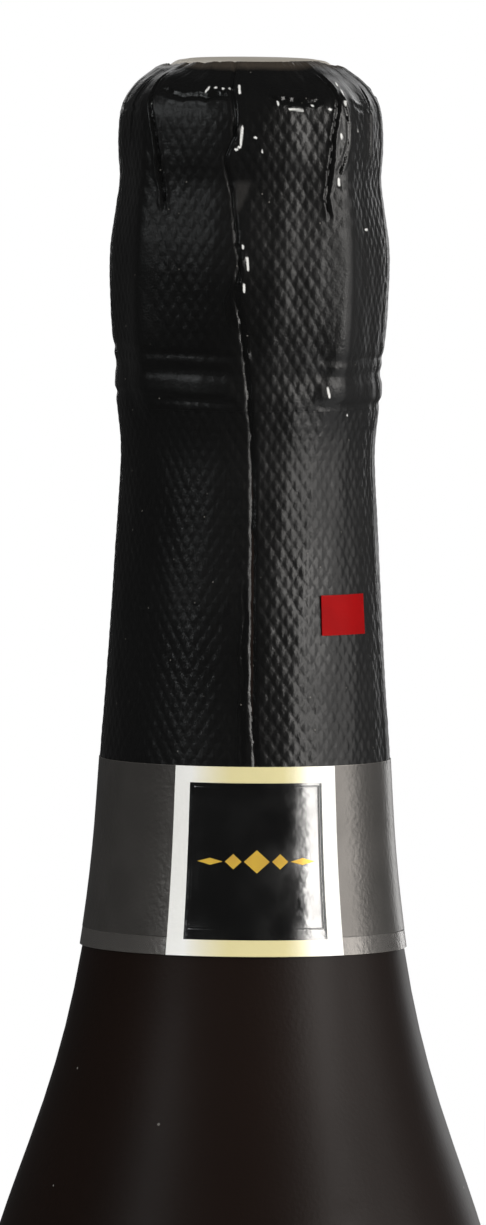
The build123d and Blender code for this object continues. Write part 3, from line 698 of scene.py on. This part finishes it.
def pressed_belt(turn, z):
    """The belt wire's ridge and its grooves, which lean a little, and where they lie flat."""
    move, flat = np.zeros(len(turn)), np.zeros(len(turn))
    tilt = z + 0.6 * np.sin(np.radians(turn)) - 0.3
    low, high, rise = BELT_RIDGE
    for turn_from, turn_to in BELT_SPANS:
        inside = between(wrap(turn), turn_from, turn_to, 2.0)
        move += inside * rise * between(tilt, low, high, 0.45)
        flat = np.maximum(flat, inside * between(tilt, low - 0.9, high + 0.4, 0.5))
        for height, depth, width in BELT_GROOVES:
            move -= inside * depth * bell(tilt - height, width)
            flat = np.maximum(flat, 0.85 * inside * bell(tilt - height, width * 1.4))
    return move, flat


def foil_relief(turn, run, wall):
    """How far each point moves out in millimetres, its fold and its flat facet."""
    radius, z = smooth_line(run).T
    move, flat = lifted(turn, z, radius)
    fold_move, folded = creased(turn, z, radius, wall)
    belt_move, belt_flat = pressed_belt(turn, z)
    turn_from, turn_to, low, high = FACET
    facet = between(turn, turn_from, turn_to, 1.2) * between(z, low, high, 0.6)
    facet *= 1 - smooth_step(turn - turn_to + (high - z) * 1.4, -1, 1)
    flat = np.maximum(np.maximum(flat, belt_flat), facet)
    move = move + fold_move + belt_move + 0.05 * facet
    hollow = smooth_step(z, 248.7, 249.3) * (1 - smooth_step(z, 249.3, 253))
    move -= 0.10 * between(turn, *HOLLOW, 2) * hollow
    dome = smooth_step(z, *DOME_HEIGHTS)
    soft = 0.045 * wobble(turn * 0.15 + z * 0.2, 81) + 0.04 * wobble(turn * 0.29 - z * 0.12, 82)
    move += soft + dome * 0.06 * wobble(turn * 0.22 + 0.8 * wobble(z * 0.7, 84), 83)
    plain = (1 - 0.8 * dome) * (1 - 0.9 * np.clip(np.maximum(folded, flat), 0, 1))
    plain *= smooth_step(z, LABEL_TOP_Z - 3, LABEL_TOP_Z)
    return move + (1 - wall) * plain * diamonds(turn, z), np.clip(folded, 0, 1), facet


def painted_glint_strokes(turn, run):
    """1 on the short strokes of painted highlight along sharp folds."""
    radius, z = smooth_line(run).T
    painted_glint = np.zeros(len(turn))
    for turn_from, z_from, turn_to, z_to in GLINTS:
        across, up = np.radians(wrap(turn - turn_from)) * radius, z - z_from
        way = np.array([math.radians(turn_to - turn_from) * GLINT_RADIUS, z_to - z_from])
        share = np.clip((across * way[0] + up * way[1]) / max(float(way @ way), 1e-6), 0, 1)
        off = np.hypot(across - share * way[0], up - share * way[1])
        painted_glint = np.maximum(painted_glint, bell(off, GLINT_WIDTH))
    return painted_glint


def diamonds(turn, z):
    """The pressed pattern of small diamonds, as a height over their grooves."""
    across = turn / 360 * DIAMONDS_ROUND
    up = z / (ROW_STEP * 8)
    rising, falling = (np.abs(np.sin(np.pi * (across + side * up))) for side in (1, -1))
    return DIAMOND_DEPTH * (np.minimum(rising, falling) ** 0.8 - 0.5)


# %% Move a sheet's points
FLAP = (28, 66)  # turn from, turn to: torn a little further in and bent up
HIGHEST = 264.58
TORN_RUN, BROWN_RUN = 1.5, 2.0


def torn_edge(turn, run):
    """How far the torn edge round the top wanders inwards and upwards."""
    near = np.clip(1 - run / TORN_RUN, 0, 1)
    flap = between(turn, *FLAP, 5)
    inwards = 0.22 * wobble(turn * 0.08, 91) + 0.10 * wobble(turn * 0.5, 92) + 0.85 * flap
    front = bell(turn, 60)
    ragged = 0.13 * wobble(turn * 0.11, 93) + 0.06 * wobble(turn * 0.7, 94)
    upwards = 0.62 * front - 0.45 * (1 - front) + ragged + 0.45 * flap
    return -near * inwards, near * upwards


def shape_foil(mesh):
    """Moves every point of a spun sheet to its place on the crumpled foil."""
    turn, run, wall = read_points(mesh)
    move, folded, flat_facet = foil_relief(turn, run, wall)
    place = smooth_line(run) + along_line(run, fine_normals) * (move - wall * FOIL_SHEET)[:, None]
    inwards, upwards = torn_edge(turn, run)
    place[:, 0] += inwards
    place[:, 1] = np.minimum(place[:, 1] + upwards, HIGHEST)
    angle = np.radians(turn)
    radius, z = place.T
    points = np.stack([radius * np.sin(angle), -radius * np.cos(angle), z], axis=1) * MM
    mesh.vertices.foreach_set("co", points.ravel())
    # The glint strokes are painted highlights along sharp folds.
    masks = {"folded": folded, "flat_facet": flat_facet, "painted_glint": painted_glint_strokes(turn, run) * (wall < 0.5)}
    masks["torn"] = np.clip(1 - run / BROWN_RUN, 0, 1)
    for name, values in masks.items():
        mesh.attributes.new(name, "FLOAT", "POINT").data.foreach_set("value", values)
    mesh.update()


def close_up(mesh, sharp_degrees=60):
    """Points all faces outwards and shades them smoothly between sharp edges."""
    bm = bmesh.new()
    bm.from_mesh(mesh)
    bmesh.ops.remove_doubles(bm, verts=bm.verts, dist=1e-7)
    bmesh.ops.recalc_face_normals(bm, faces=bm.faces)
    bm.to_mesh(mesh)
    bm.free()
    mesh.shade_smooth()
    mesh.set_sharp_from_angle(angle=math.radians(sharp_degrees))


def add_piece(name, mesh, body, made, cad_node):
    """Adds a finished mesh as a piece that rides on a body and replaces a CAD node."""
    piece = place_in_scene(name, mesh)
    mesh.materials.append(made)
    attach(piece, body)
    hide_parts(cad_node)
    print(name, "faces:", len(mesh.polygons))


# %% [markdown]
# ## The foil's finish
# Black lacquer on thin metal: nearly black, satin, and glossier where it is folded or
# stretched. Along the torn edge the lacquer has cracked off and a brownish edge shows.
# On a few sharp folds pale strokes are painted on as highlights.

# %% Foil material
def read_attribute(tree, name):
    """The value of one of a mesh's own attributes."""
    node = tree.nodes.new("ShaderNodeAttribute")
    node.attribute_name = name
    return node.outputs["Fac"]


def foil_material():
    """Nearly black lacquer, its gloss and colour changed where it is worked; painted highlights on
    folds.
    """
    made, tree, shader = new_material("black_foil", (0.004, 0.004, 0.004), 0.36, specular=0.42)
    drift = use_group(tree, "drift", Scale=90.0)
    satin = spread(tree, drift, 0, 1, 0.30, 0.42)
    flat_facet = read_attribute(tree, "flat_facet")
    stretched = spread(tree, read_attribute(tree, "folded"), 0, 1, 0.0, 0.14)
    gloss = calculate(tree, "SUBTRACT", satin, stretched)
    dull = calculate(tree, "ADD", gloss, spread(tree, flat_facet, 0, 1, 0.0, 0.10))
    specks = use_group(tree, "specks", Scale=420.0, Amount=0.045)
    torn = spread(tree, read_attribute(tree, "torn"), 0.25, 0.6, 0.0, 1.0)
    painted_glint = spread(tree, read_attribute(tree, "painted_glint"), 0.3, 0.7, 0.0, 1.0)
    color = mix_colors(tree, specks, (0.004, 0.004, 0.004), (0.10, 0.095, 0.085))
    # Lighter on the flat facet beside the seam, which is also duller.
    color = mix_colors(tree, flat_facet, color, (0.016, 0.015, 0.014))
    color = mix_colors(tree, torn, color, (0.045, 0.036, 0.028))
    # Painted highlights: pale strokes on sharp folds.
    color = mix_colors(tree, painted_glint, color, (0.78, 0.78, 0.76))
    dress(tree, shader, (2600.0, 0.12), color, dull)
    return made


black_foil = foil_material()
above_tear, below_tear = (run_at_height(TEAR_Z + side * TEAR_GAP) for side in (1, -1))
foil_end, plain_from = float(fine_runs[-1]), run_at_height(LABEL_TOP_Z - 1.5)
for name, run_from, run_to, plain, body, cad_node in (
    ("foil_upper", 0.0, above_tear, None, "foil", "foil_cap"),
    ("foil_lower", below_tear, foil_end, plain_from, "bottle", "foil_skirt"),
):
    mesh = spin_sheet(name, run_from, run_to, plain)
    shape_foil(mesh)
    close_up(mesh)
    add_piece(name, mesh, body, black_foil, cad_node)

# %% [markdown]
# ## Glass, label and sticker
# The glass keeps its CAD shape. It is so dark that no light comes through it, with a
# satin skin that carries a little dust. The label and its glossy panel are made again
# on the CAD pieces' own lines, which are read from their meshes. The label gets the
# step that runs round it above its lower edge, and the panel its fine pressed line. The
# stamped border, the ornament and the sticker keep their CAD shapes.

# %% Lines of the label
LABEL_SHEET = 0.12
LABEL_SEAM_HALF = 1.5
LABEL_STEPS = 240
STEP_Z, STEP_DEPTH = 151.7, 0.035
PANEL_SHEET = 0.045
PRESSED_LINE = (0.55, 0.45, 1.4)  # in from the sides, the top and the bottom
PANEL_STEP, LINE_CLEAR = 0.6, 0.35
LINE_OFFSETS = (-0.3, -0.2, -0.13, -0.08, -0.04, 0.0, 0.04, 0.08, 0.13, 0.2, 0.3)


def cad_reach(node_name):
    """A CAD piece's heights with its outer radius at each, and the least and most of its turns."""
    mesh = nodes[node_name].data
    points = np.zeros(len(mesh.vertices) * 3)
    mesh.vertices.foreach_get("co", points)
    x, y, z = points.reshape(-1, 3).T / MM
    radius, level = np.hypot(x, y), np.round(z, 2)
    heights = np.unique(level)
    outer = np.array([radius[level == height].max() for height in heights])
    turn = np.degrees(np.arctan2(x, -y))
    return heights, outer, turn.min(), turn.max()


label_z, label_radius, _, _ = cad_reach("neck_label")
panel_z, panel_radius, panel_from, panel_to = cad_reach("label_panel")
print("label heights:", label_z[0], label_z[-1], "panel turns:", panel_from, panel_to)

# %% Label and panel meshes
label_rows = np.concatenate([
    np.linspace(label_z[-1], STEP_Z + 0.1, 60), [STEP_Z + 0.05, STEP_Z, STEP_Z - 0.04],
    np.linspace(STEP_Z - 0.1, label_z[0], 8),
])
under_step = 1 - smooth_step(label_rows, STEP_Z - 0.04, STEP_Z + 0.04)
label_outer = np.interp(label_rows, label_z, label_radius) - STEP_DEPTH * under_step
label_outline = list(zip(label_outer, label_rows))
label_outline += [(r - LABEL_SHEET, z) for r, z in zip(label_outer[::-8], label_rows[::-8])]
label_outline.append((label_outer[0] - LABEL_SHEET, label_rows[0]))
bm = bmesh.new()
start = math.radians(180 - LABEL_SEAM_HALF)
rim = [
    bm.verts.new((-r * math.sin(start) * MM, -r * math.cos(start) * MM, z * MM))
    for r, z in label_outline
]
spun = spin_rim(bm, rim, LABEL_STEPS, angle=math.radians(360 - 2 * LABEL_SEAM_HALF))
bm.faces.new(rim)
bm.faces.new([v for v in spun["geom_last"] if isinstance(v, bmesh.types.BMVert)])
label_mesh = as_mesh("label", bm)
close_up(label_mesh, 40)


def stations(low, high, lines):
    """Places along a side of the panel, close together at its pressed lines."""
    even = spaced(low, high, PANEL_STEP)
    places = [v for v in even if min(abs(v - line) for line in lines) > LINE_CLEAR]
    places += [line + offset for line in lines for offset in LINE_OFFSETS]
    return np.unique(np.clip(places + [low, high], low, high))


def panel_patch():
    """The panel: a thin curved sheet with a fine pressed line round it."""
    radius = float(np.mean(panel_radius))
    half = math.radians(panel_to - panel_from) * radius / 2
    side, top, bottom = PRESSED_LINE
    line_low, line_high = panel_z[0] + bottom, panel_z[-1] - top
    across = stations(-half, half, (-half + side, half - side))
    up = stations(panel_z[0], panel_z[-1], (line_low, line_high))
    a, z = np.meshgrid(across, up)
    outside = np.maximum(np.abs(a) - (half - side), np.maximum(line_low - z, z - line_high))
    press = relief_of_line(outside, 0.03, 0.10) - 0.015 * np.clip(outside / side, 0, 1)
    turn = np.radians((panel_from + panel_to + a / half * (panel_to - panel_from)) / 2)
    outer = np.interp(z, panel_z, panel_radius) + press
    bm = bmesh.new()
    columns, rows = len(across) - 1, len(up) - 1
    bmesh.ops.create_grid(bm, x_segments=columns, y_segments=rows, size=1)
    for vert in bm.verts:
        at = round((vert.co.y + 1) / 2 * rows), round((vert.co.x + 1) / 2 * columns)
        angle, reach = turn[at], outer[at]
        vert.co = Vector((reach * math.sin(angle), -reach * math.cos(angle), z[at])) * MM
    under = bmesh.ops.extrude_face_region(bm, geom=bm.faces[:], use_keep_orig=True)
    for vert in under["geom"]:
        if isinstance(vert, bmesh.types.BMVert):
            vert.co -= Vector((vert.co.x, vert.co.y, 0)).normalized() * PANEL_SHEET * MM
    mesh = as_mesh("panel", bm)
    close_up(mesh)
    return mesh


# %% Finishes of the bottle and the label
def object_place(tree):
    """The parts of the Object coordinates as sockets."""
    place = add_node(tree, "ShaderNodeTexCoord")
    return add_node(tree, "ShaderNodeSeparateXYZ", [(place.outputs["Object"], 0)]).outputs


def label_material():
    """Dark metallic paper, glossier under its step, with pale cut edges."""
    base = (0.24, 0.228, 0.215)
    made, tree, shader = new_material("label_paper", base, 0.30, metallic=0.85, specular=0.3)
    drift = use_group(tree, "drift", Scale=140.0)
    height = object_place(tree)[2]
    strip = spread(tree, height, (STEP_Z - 0.02) * MM, (STEP_Z + 0.02) * MM, 1.0, 0.0)
    low, high = label_z[0], label_z[-1]
    low_edge = spread(tree, height, (low + 0.03) * MM, (low + 0.07) * MM, 1.0, 0.0)
    high_edge = spread(tree, height, (high - 0.07) * MM, (high - 0.03) * MM, 0.0, 1.0)
    cut = calculate(tree, "MAXIMUM", low_edge, high_edge)
    color = mix_colors(tree, drift, (0.205, 0.194, 0.183), (0.175, 0.166, 0.156))
    color = mix_colors(tree, strip, color, (0.29, 0.275, 0.26))
    color = mix_colors(tree, cut, color, (0.36, 0.34, 0.31))
    dress(tree, shader, (1500.0, 0.14), color, spread(tree, strip, 0, 1, 0.30, 0.26))
    return made


def border_material():
    """Pale gold stamping, with a painted reflection that turns it white towards its two upright bars.
    """
    made, tree, shader = new_material("label_border", (0.80, 0.73, 0.46), 0.34, metallic=0.15)
    x, y, _ = object_place(tree)
    middle = math.radians((panel_from + panel_to) / 2)
    turn = calculate(tree, "SUBTRACT", calculate(tree, "ARCTAN2", x, y), math.pi - middle)
    gold_to, glare_from = (math.cos(math.radians(turned)) for turned in (10, 26))
    # Painted reflection: white where the bars turn towards the side lights.
    white = spread(tree, calculate(tree, "COSINE", turn), gold_to, glare_from, 0.0, 1.0)
    color = mix_colors(tree, white, (0.80, 0.72, 0.38), (0.98, 0.98, 0.95))
    dress(tree, shader, (1500.0, 0.05), color)
    return made


def panel_material():
    """Thick black varnish, a little uneven, so its glare breaks up."""
    made, tree, shader = new_material("label_gloss", (0.004, 0.004, 0.004), 0.16, specular=1.0)
    shader.inputs["IOR"].default_value = 1.75
    drift = use_group(tree, "drift", Scale=180.0)
    dress(tree, shader, (260.0, 0.30), roughness=spread(tree, drift, 0, 1, 0.12, 0.26))
    return made


glass = two_toned(
    "dark_glass", (0.008, 0.006, 0.005), 0.42, 25.0,
    ((0.0080, 0.0040, 0.0027), (0.0105, 0.0053, 0.0036)), (1800.0, 0.06),
    dust=(150.0, 0.035, (0.16, 0.15, 0.14)), specular=0.20,
)
gold = two_toned(
    "label_gold", (0.80, 0.52, 0.08), 0.32, 300.0,
    ((0.82, 0.54, 0.07), (0.72, 0.44, 0.07)), (1500.0, 0.05), metallic=0.35,
)
red = two_toned(
    "sticker_red", (0.36, 0.003, 0.004), 0.34, 200.0,
    ((0.36, 0.003, 0.004), (0.30, 0.003, 0.004)), (1500.0, 0.08), specular=0.05,
)
add_piece("label", label_mesh, "bottle", label_material(), "neck_label")
add_piece("panel", panel_patch(), "bottle", panel_material(), "label_panel")
finish_with("glass_bottle", glass)
finish_with("label_border", border_material())
finish_with("label_ornament", gold)
finish_with("neck_sticker", red)

# %% [markdown]
# ## The metal cap and the cork
# Both are turned shapes. The cap is thin sheet with a flat enamelled top, a ledge for
# the wire ring and a rolled rim. The cork's head bulges a little over its flare, and its
# skin is pitted where crumbs have broken out.

# %% Turned pieces
ROUND_STEPS = 192


def rounded_corner(before, corner, after, radius, steps=5):
    """Points of an arc that rounds a corner between two neighbours."""
    before, corner, after = (np.array(p, float) for p in (before, corner, after))
    to_before, to_after = before - corner, after - corner
    to_before /= np.linalg.norm(to_before)
    to_after /= np.linalg.norm(to_after)
    half = math.acos(float(np.clip(np.dot(to_before, to_after), -1, 1))) / 2
    reach = radius / math.tan(half)
    middle = to_before + to_after
    middle *= radius / math.sin(half) / np.linalg.norm(middle)
    start, end = to_before * reach - middle, to_after * reach - middle
    angle = math.acos(float(np.clip(np.dot(start, end) / radius**2, -1, 1)))
    points = []
    for share in np.linspace(0, 1, steps + 1):
        swung = math.sin((1 - share) * angle) * start + math.sin(share * angle) * end
        points.append(corner + middle + swung / math.sin(angle))
    return points


def rounded_outline(rows):
    """A line with each corner rounded by its own radius (0 keeps it)."""
    points = []
    for index, (*corner, radius) in enumerate(rows):
        if radius == 0:
            points.append(np.array(corner, float))
        else:
            points += rounded_corner(rows[index - 1][:-1], corner, rows[index + 1][:-1], radius)
    return points


def turned(name, points, sharp_degrees):
    """A mesh turned round the axis from points of radius and height in millimetres."""
    bm = bmesh.new()
    rim = [bm.verts.new((0, -radius * MM, z * MM)) for radius, z in points]
    spin_rim(bm, rim, ROUND_STEPS, closed=False)
    mesh = as_mesh(name, bm)
    close_up(mesh, sharp_degrees)
    return mesh


# %% Cap
LEDGE_Z, RIM_Z = 261.9, 256.52
cap_outline = rounded_outline([
    # radius, height, rounding: over the top, down outside, round the rim and back inside
    (0.01, 264.58, 0), (8.0, 264.55, 4.0), (9.7, 264.28, 1.2), (10.55, 263.72, 0.8),
    (10.8, 263.1, 0.5), (10.95, LEDGE_Z, 0.25), (12.3, LEDGE_Z, 0.4), (15.62, 258.7, 0.9),
    (15.68, RIM_Z + 0.33, 0.2), (15.55, RIM_Z, 0.12), (15.32, RIM_Z, 0.08),
    (15.22, RIM_Z + 0.28, 0.1), (15.36, RIM_Z + 0.58, 0.1), (15.38, 258.6, 0.65),
    (12.2, 261.68, 0.3), (10.72, 261.68, 0.2), (10.55, 263.1, 0.3), (9.6, 264.04, 0.8),
    (8.0, 264.31, 2.0), (0.01, 264.34, 0),
])
enamel = two_toned(
    "cap_enamel", (0.60, 0.56, 0.49), 0.45, 120.0,
    ((0.62, 0.58, 0.51), (0.57, 0.52, 0.44)), (900.0, 0.05),
    dust=(500.0, 0.05, (0.30, 0.25, 0.19)), specular=0.3,
)
add_piece("cap", turned("cap", cap_outline, 50), "hood", enamel, "hood_cap")

# %% Cork
SHANK_RADIUS, HEAD_LOW, CORK_TOP, CORK_JOIN = 8.75, 248.4, 261.53, 234.8
CORK_STEP = 0.4
CORK_PIT_DEPTH = 0.14
cork_corners = rounded_outline([
    # radius, height, rounding: under the shank, up its side, round the head to its top
    (0.01, CORK_JOIN, 0), (SHANK_RADIUS, CORK_JOIN, 0), (SHANK_RADIUS, HEAD_LOW - 0.5, 0),
    (SHANK_RADIUS + 0.02, HEAD_LOW, 0), (12.6, HEAD_LOW + 0.02, 0.5), (14.6, 250.6, 1.2),
    (15.25, 252.4, 1.6), (15.27, 257.4, 0), (15.0, 259.6, 1.2), (13.6, 261.0, 0.9),
    (11.8, CORK_TOP, 0.8), (0.01, CORK_TOP, 0),
])
cork_outline = []
for near, far in zip(cork_corners, cork_corners[1:]):
    count = max(1, round(math.dist(near, far) / CORK_STEP))
    cork_outline += [near + (far - near) * step / count for step in range(count)]
cork_outline.append(cork_corners[-1])


def cork_material(name, crumb_scale, base, dark, pores):
    """Cork: crumbs in two browns with dark pores between them."""
    made, tree, shader = new_material(name, base, 0.82, specular=0.2)
    place = add_node(tree, "ShaderNodeTexCoord").outputs["Object"]
    crumbs = add_node(tree, "ShaderNodeTexVoronoi", [(place, "Vector")], Scale=crumb_scale)
    tone = add_node(tree, "ShaderNodeSeparateColor", [(crumbs.outputs["Color"], 0)])
    drift = use_group(tree, "drift", Scale=pores)
    pore = spread(tree, drift, 0.85, 1.0, 0.0, 0.85)
    color = mix_colors(tree, tone.outputs[0], base, dark)
    dress(tree, shader, (3200.0, 0.35), mix_colors(tree, pore, color, (0.13, 0.06, 0.025)))
    return made


def pit(mesh, seed, deepest):
    """Presses irregular pits into a mesh, only inwards."""
    count = len(mesh.vertices)
    points, normals = np.zeros(count * 3), np.zeros(count * 3)
    mesh.vertices.foreach_get("co", points)
    mesh.vertex_normals.foreach_get("vector", normals)
    points, normals = points.reshape(-1, 3), normals.reshape(-1, 3)
    x, y, z = points.T / MM
    noise = wobble(x * 2.1, seed) * wobble(y * 2.3, seed + 1) + 0.7 * wobble(z * 2.9, seed + 2)
    points -= normals * (deepest * smooth_step(noise, 0.35, 1.0))[:, None] * MM
    mesh.vertices.foreach_set("co", points.ravel())
    mesh.update()


pressed = cork_material("pressed_cork", 620.0, (0.52, 0.33, 0.17), (0.33, 0.18, 0.08), 420.0)
natural = cork_material("natural_cork", 240.0, (0.55, 0.36, 0.20), (0.45, 0.27, 0.14), 300.0)
cork_mesh = turned("cork", cork_outline, 55)
pit(cork_mesh, 5, CORK_PIT_DEPTH)
add_piece("cork", cork_mesh, "cork", pressed, "cork_body")
for disc in ("cork_disc_upper", "cork_disc_lower"):
    finish_with(disc, natural)

# %% [markdown]
# ## The wire hood
# Every wire is a round tube along a line. A leg is one wire, bent double: it runs down
# as one strand, turns round the belt wire as an eyelet and runs up again as the other
# strand, and the two are twisted together. The belt wire's two ends turn outwards at the
# back, and the key is the same wire, twisted and ending in a loop. The lines are the CAD
# model's own: the same corners, bends and twist.

# %% Wires
WIRE_RADIUS = 0.45
WIRE_ROUNDING = 4
WIRE_STEP = 0.2
TWIST_PITCH = 8.0
BELT_Z, BELT_RADIUS = 221.8, 16.5
RING_RADIUS, RING_Z = 11.6, 262.4
LEG_CORNERS = [
    # three coordinates and a rounding, in the plane over the X axis
    (RING_RADIUS, 0, RING_Z, 0), (13.3, 0, RING_Z, 1.2), (16.8, 0, 259.1, 2.0),
    (18.3, 0, 240.4, 8.0), (18.3, 0, 229.1, 2.0), (BELT_RADIUS, 0, BELT_Z + 1, 0),
]
LEG_TWIST_FROM = 5.2
KEY_RADIUS, KEY_TAIL_TOP = 18.3, 230.8


def even_points(points, step):
    """A line's points spaced evenly."""
    points = np.array(points, float)
    lengths = np.concatenate([[0], np.cumsum(np.linalg.norm(np.diff(points, axis=0), axis=1))])
    places = np.linspace(0, lengths[-1], max(2, round(lengths[-1] / step) + 1))
    return np.stack([np.interp(places, lengths, column) for column in points.T], axis=1), places


def softened(points, rounds=6):
    """A line with its kinks eased, and its ends kept."""
    points = np.array(points, float)
    for _ in range(rounds):
        points[1:-1] = 0.5 * points[1:-1] + 0.25 * (points[:-2] + points[2:])
    return points


def wire_mesh(name, strands):
    """Round wires; a strand is its line, whether it closes, and its share of the radius."""
    curve = bpy.data.curves.new(name, "CURVE")
    curve.dimensions = "3D"
    curve.bevel_depth = WIRE_RADIUS * MM
    curve.bevel_resolution = WIRE_ROUNDING
    curve.use_fill_caps = True
    for line, closed, share in strands:
        spline = curve.splines.new("POLY")
        spline.points.add(len(line) - 1)
        places = np.column_stack([np.array(line) * MM, np.ones(len(line))])
        spline.points.foreach_set("co", places.ravel())
        spline.points.foreach_set("radius", np.full(len(line), share))
        spline.use_cyclic_u = closed
    holder = bpy.data.objects.new(name, curve)
    mesh = bpy.data.meshes.new_from_object(holder)
    bpy.data.objects.remove(holder)
    mesh.materials.clear()
    close_up(mesh, 50)
    return mesh


def strand_pair(path, twist_from, turns, across):
    """Two strands twisted about a path, from side by side along across."""
    path, places = even_points(path, WIRE_STEP)
    ways = np.gradient(path, axis=0)
    ways /= np.linalg.norm(ways, axis=1, keepdims=True)
    twist = np.clip((places - twist_from) / (places[-1] - twist_from), 0, 1) * turns * math.tau
    across = np.array(across, float)
    ahead = np.cross(ways, across)
    offset = WIRE_RADIUS * (np.cos(twist)[:, None] * across + np.sin(twist)[:, None] * ahead)
    return path + offset, path - offset


def turn_line(line, turn):
    """A line drawn in the plane over the X axis, brought to a turn from the front."""
    angle = math.radians(turn - 90)
    line = np.array(line, float)
    x = line[:, 0] * math.cos(angle) - line[:, 1] * math.sin(angle)
    y = line[:, 0] * math.sin(angle) + line[:, 1] * math.cos(angle)
    return np.stack([x, y, line[:, 2]], axis=1)


# %% Hood frame: ring, legs and eyelets
leg_path = rounded_outline(LEG_CORNERS)
leg_length = even_points(leg_path, WIRE_STEP)[1][-1]
leg_turns = round((leg_length - LEG_TWIST_FROM) / TWIST_PITCH) + 0.25
first, second = strand_pair(leg_path, LEG_TWIST_FROM, leg_turns, (0, 1, 0))
if first[-1][0] < second[-1][0]:
    first, second = second, first
eyelet_turns = np.radians(np.linspace(40, -220, 40))
eyelet = [(BELT_RADIUS + math.cos(a), 0, BELT_Z + math.sin(a)) for a in eyelet_turns]
leg_line = softened(np.concatenate([first[:-2], eyelet, second[:-2][::-1]]))
legs = [(turn_line(leg_line, turn), False, 1.0) for turn in LEG_TURNS]
ring_turns = np.linspace(0, math.tau, 240, endpoint=False)
ring = [(RING_RADIUS * math.cos(a), RING_RADIUS * math.sin(a), RING_Z) for a in ring_turns]
frame_mesh = wire_mesh("hood_wires", [(ring, True, 1.0)] + legs)

# %% Belt wire and key
root = [(0.45, 17.22), (0.45, 17.0), (0.52, 16.8), (0.80, 16.6)]  # where the ends turn out
belt_turns = np.radians(np.linspace(176.3, -176.3, 260))
belt_line = [(x, y, BELT_Z) for x, y in root]
belt_line += [(BELT_RADIUS * math.sin(t), -BELT_RADIUS * math.cos(t), BELT_Z) for t in belt_turns]
belt_line += [(-x, y, BELT_Z) for x, y in reversed(root)]
belt_mesh = wire_mesh("belt_wire", [(softened(even_points(belt_line, 0.25)[0], 2), False, 1.0)])

tail = [(0, KEY_RADIUS, BELT_Z + 0.6), (0, KEY_RADIUS, KEY_TAIL_TOP)]
left, right = strand_pair(tail, 0.0, 1, (1, 0, 0))
side_line = rounded_outline([
    (0.45, KEY_RADIUS, KEY_TAIL_TOP, 0), (3.85, KEY_RADIUS, KEY_TAIL_TOP + 6.5, 2.5),
    (2.5, KEY_RADIUS, KEY_TAIL_TOP + 12.5, 1.3), (0, KEY_RADIUS, KEY_TAIL_TOP + 12.5, 0),
])
other_line = [(-x, y, z) for x, y, z in reversed(side_line)]
bow = even_points(list(side_line) + other_line[1:], 0.25)[0]
if left[-1][0] < right[-1][0]:
    left, right = right, left
key_line = softened(np.concatenate([left[:-1], bow[1:-1], right[:-1][::-1]]), 8)
coil_turns = np.linspace(0, math.tau, 28, endpoint=False)
coil = [(0, KEY_RADIUS + 0.44 * math.cos(a), BELT_Z + 0.44 * math.sin(a)) for a in coil_turns]
key_mesh = wire_mesh("key_wire", [(key_line, False, 1.0), (coil, True, 0.95)])

hood_wire = two_toned(
    "hood_wire", (0.60, 0.60, 0.58), 0.30, 260.0,
    ((0.62, 0.62, 0.60), (0.42, 0.41, 0.38)), (2400.0, 0.15), gloss=(0.24, 0.42), metallic=1.0,
)
add_piece("hood_wires", frame_mesh, "hood", hood_wire, "hood_frame")
add_piece("belt_wire", belt_mesh, "hood", hood_wire, "hood_belt")
add_piece("key_wire", key_mesh, "key", hood_wire, "hood_key")

# %% [markdown]
# ## The floor
# The bottle stands on a matt pale floor that keeps its shadow. Further off the floor
# turns to plain white for the camera and in reflections, so it runs into the background.

# %% Floor
FLOOR_HALF = 30.0
WHITE_FROM, WHITE_TO = 0.08, 0.50
bm = bmesh.new()
bmesh.ops.create_grid(bm, x_segments=1, y_segments=1, size=FLOOR_HALF)
floor = place_in_scene("floor", as_mesh("floor", bm))
floor_paint, tree, shader = new_material("floor_paint", (0.82, 0.82, 0.82), 0.7, specular=0.2)
place = add_node(tree, "ShaderNodeTexCoord").outputs["Object"]
reach = add_node(tree, "ShaderNodeVectorMath", [(place, 0)], operation="LENGTH")
away = spread(tree, reach.outputs["Value"], WHITE_FROM, WHITE_TO, 0.0, 1.0)
mask = calculate(tree, "MULTIPLY", seen_directly(tree), away)
white = add_node(tree, "ShaderNodeEmission")
surfaces = [(mask, 0), (shader.outputs[0], 1), (white.outputs[0], 2)]
blend = add_node(tree, "ShaderNodeMixShader", surfaces)
tree.links.new(blend.outputs[0], tree.nodes["Material Output"].inputs["Surface"])
floor.data.materials.append(floor_paint)
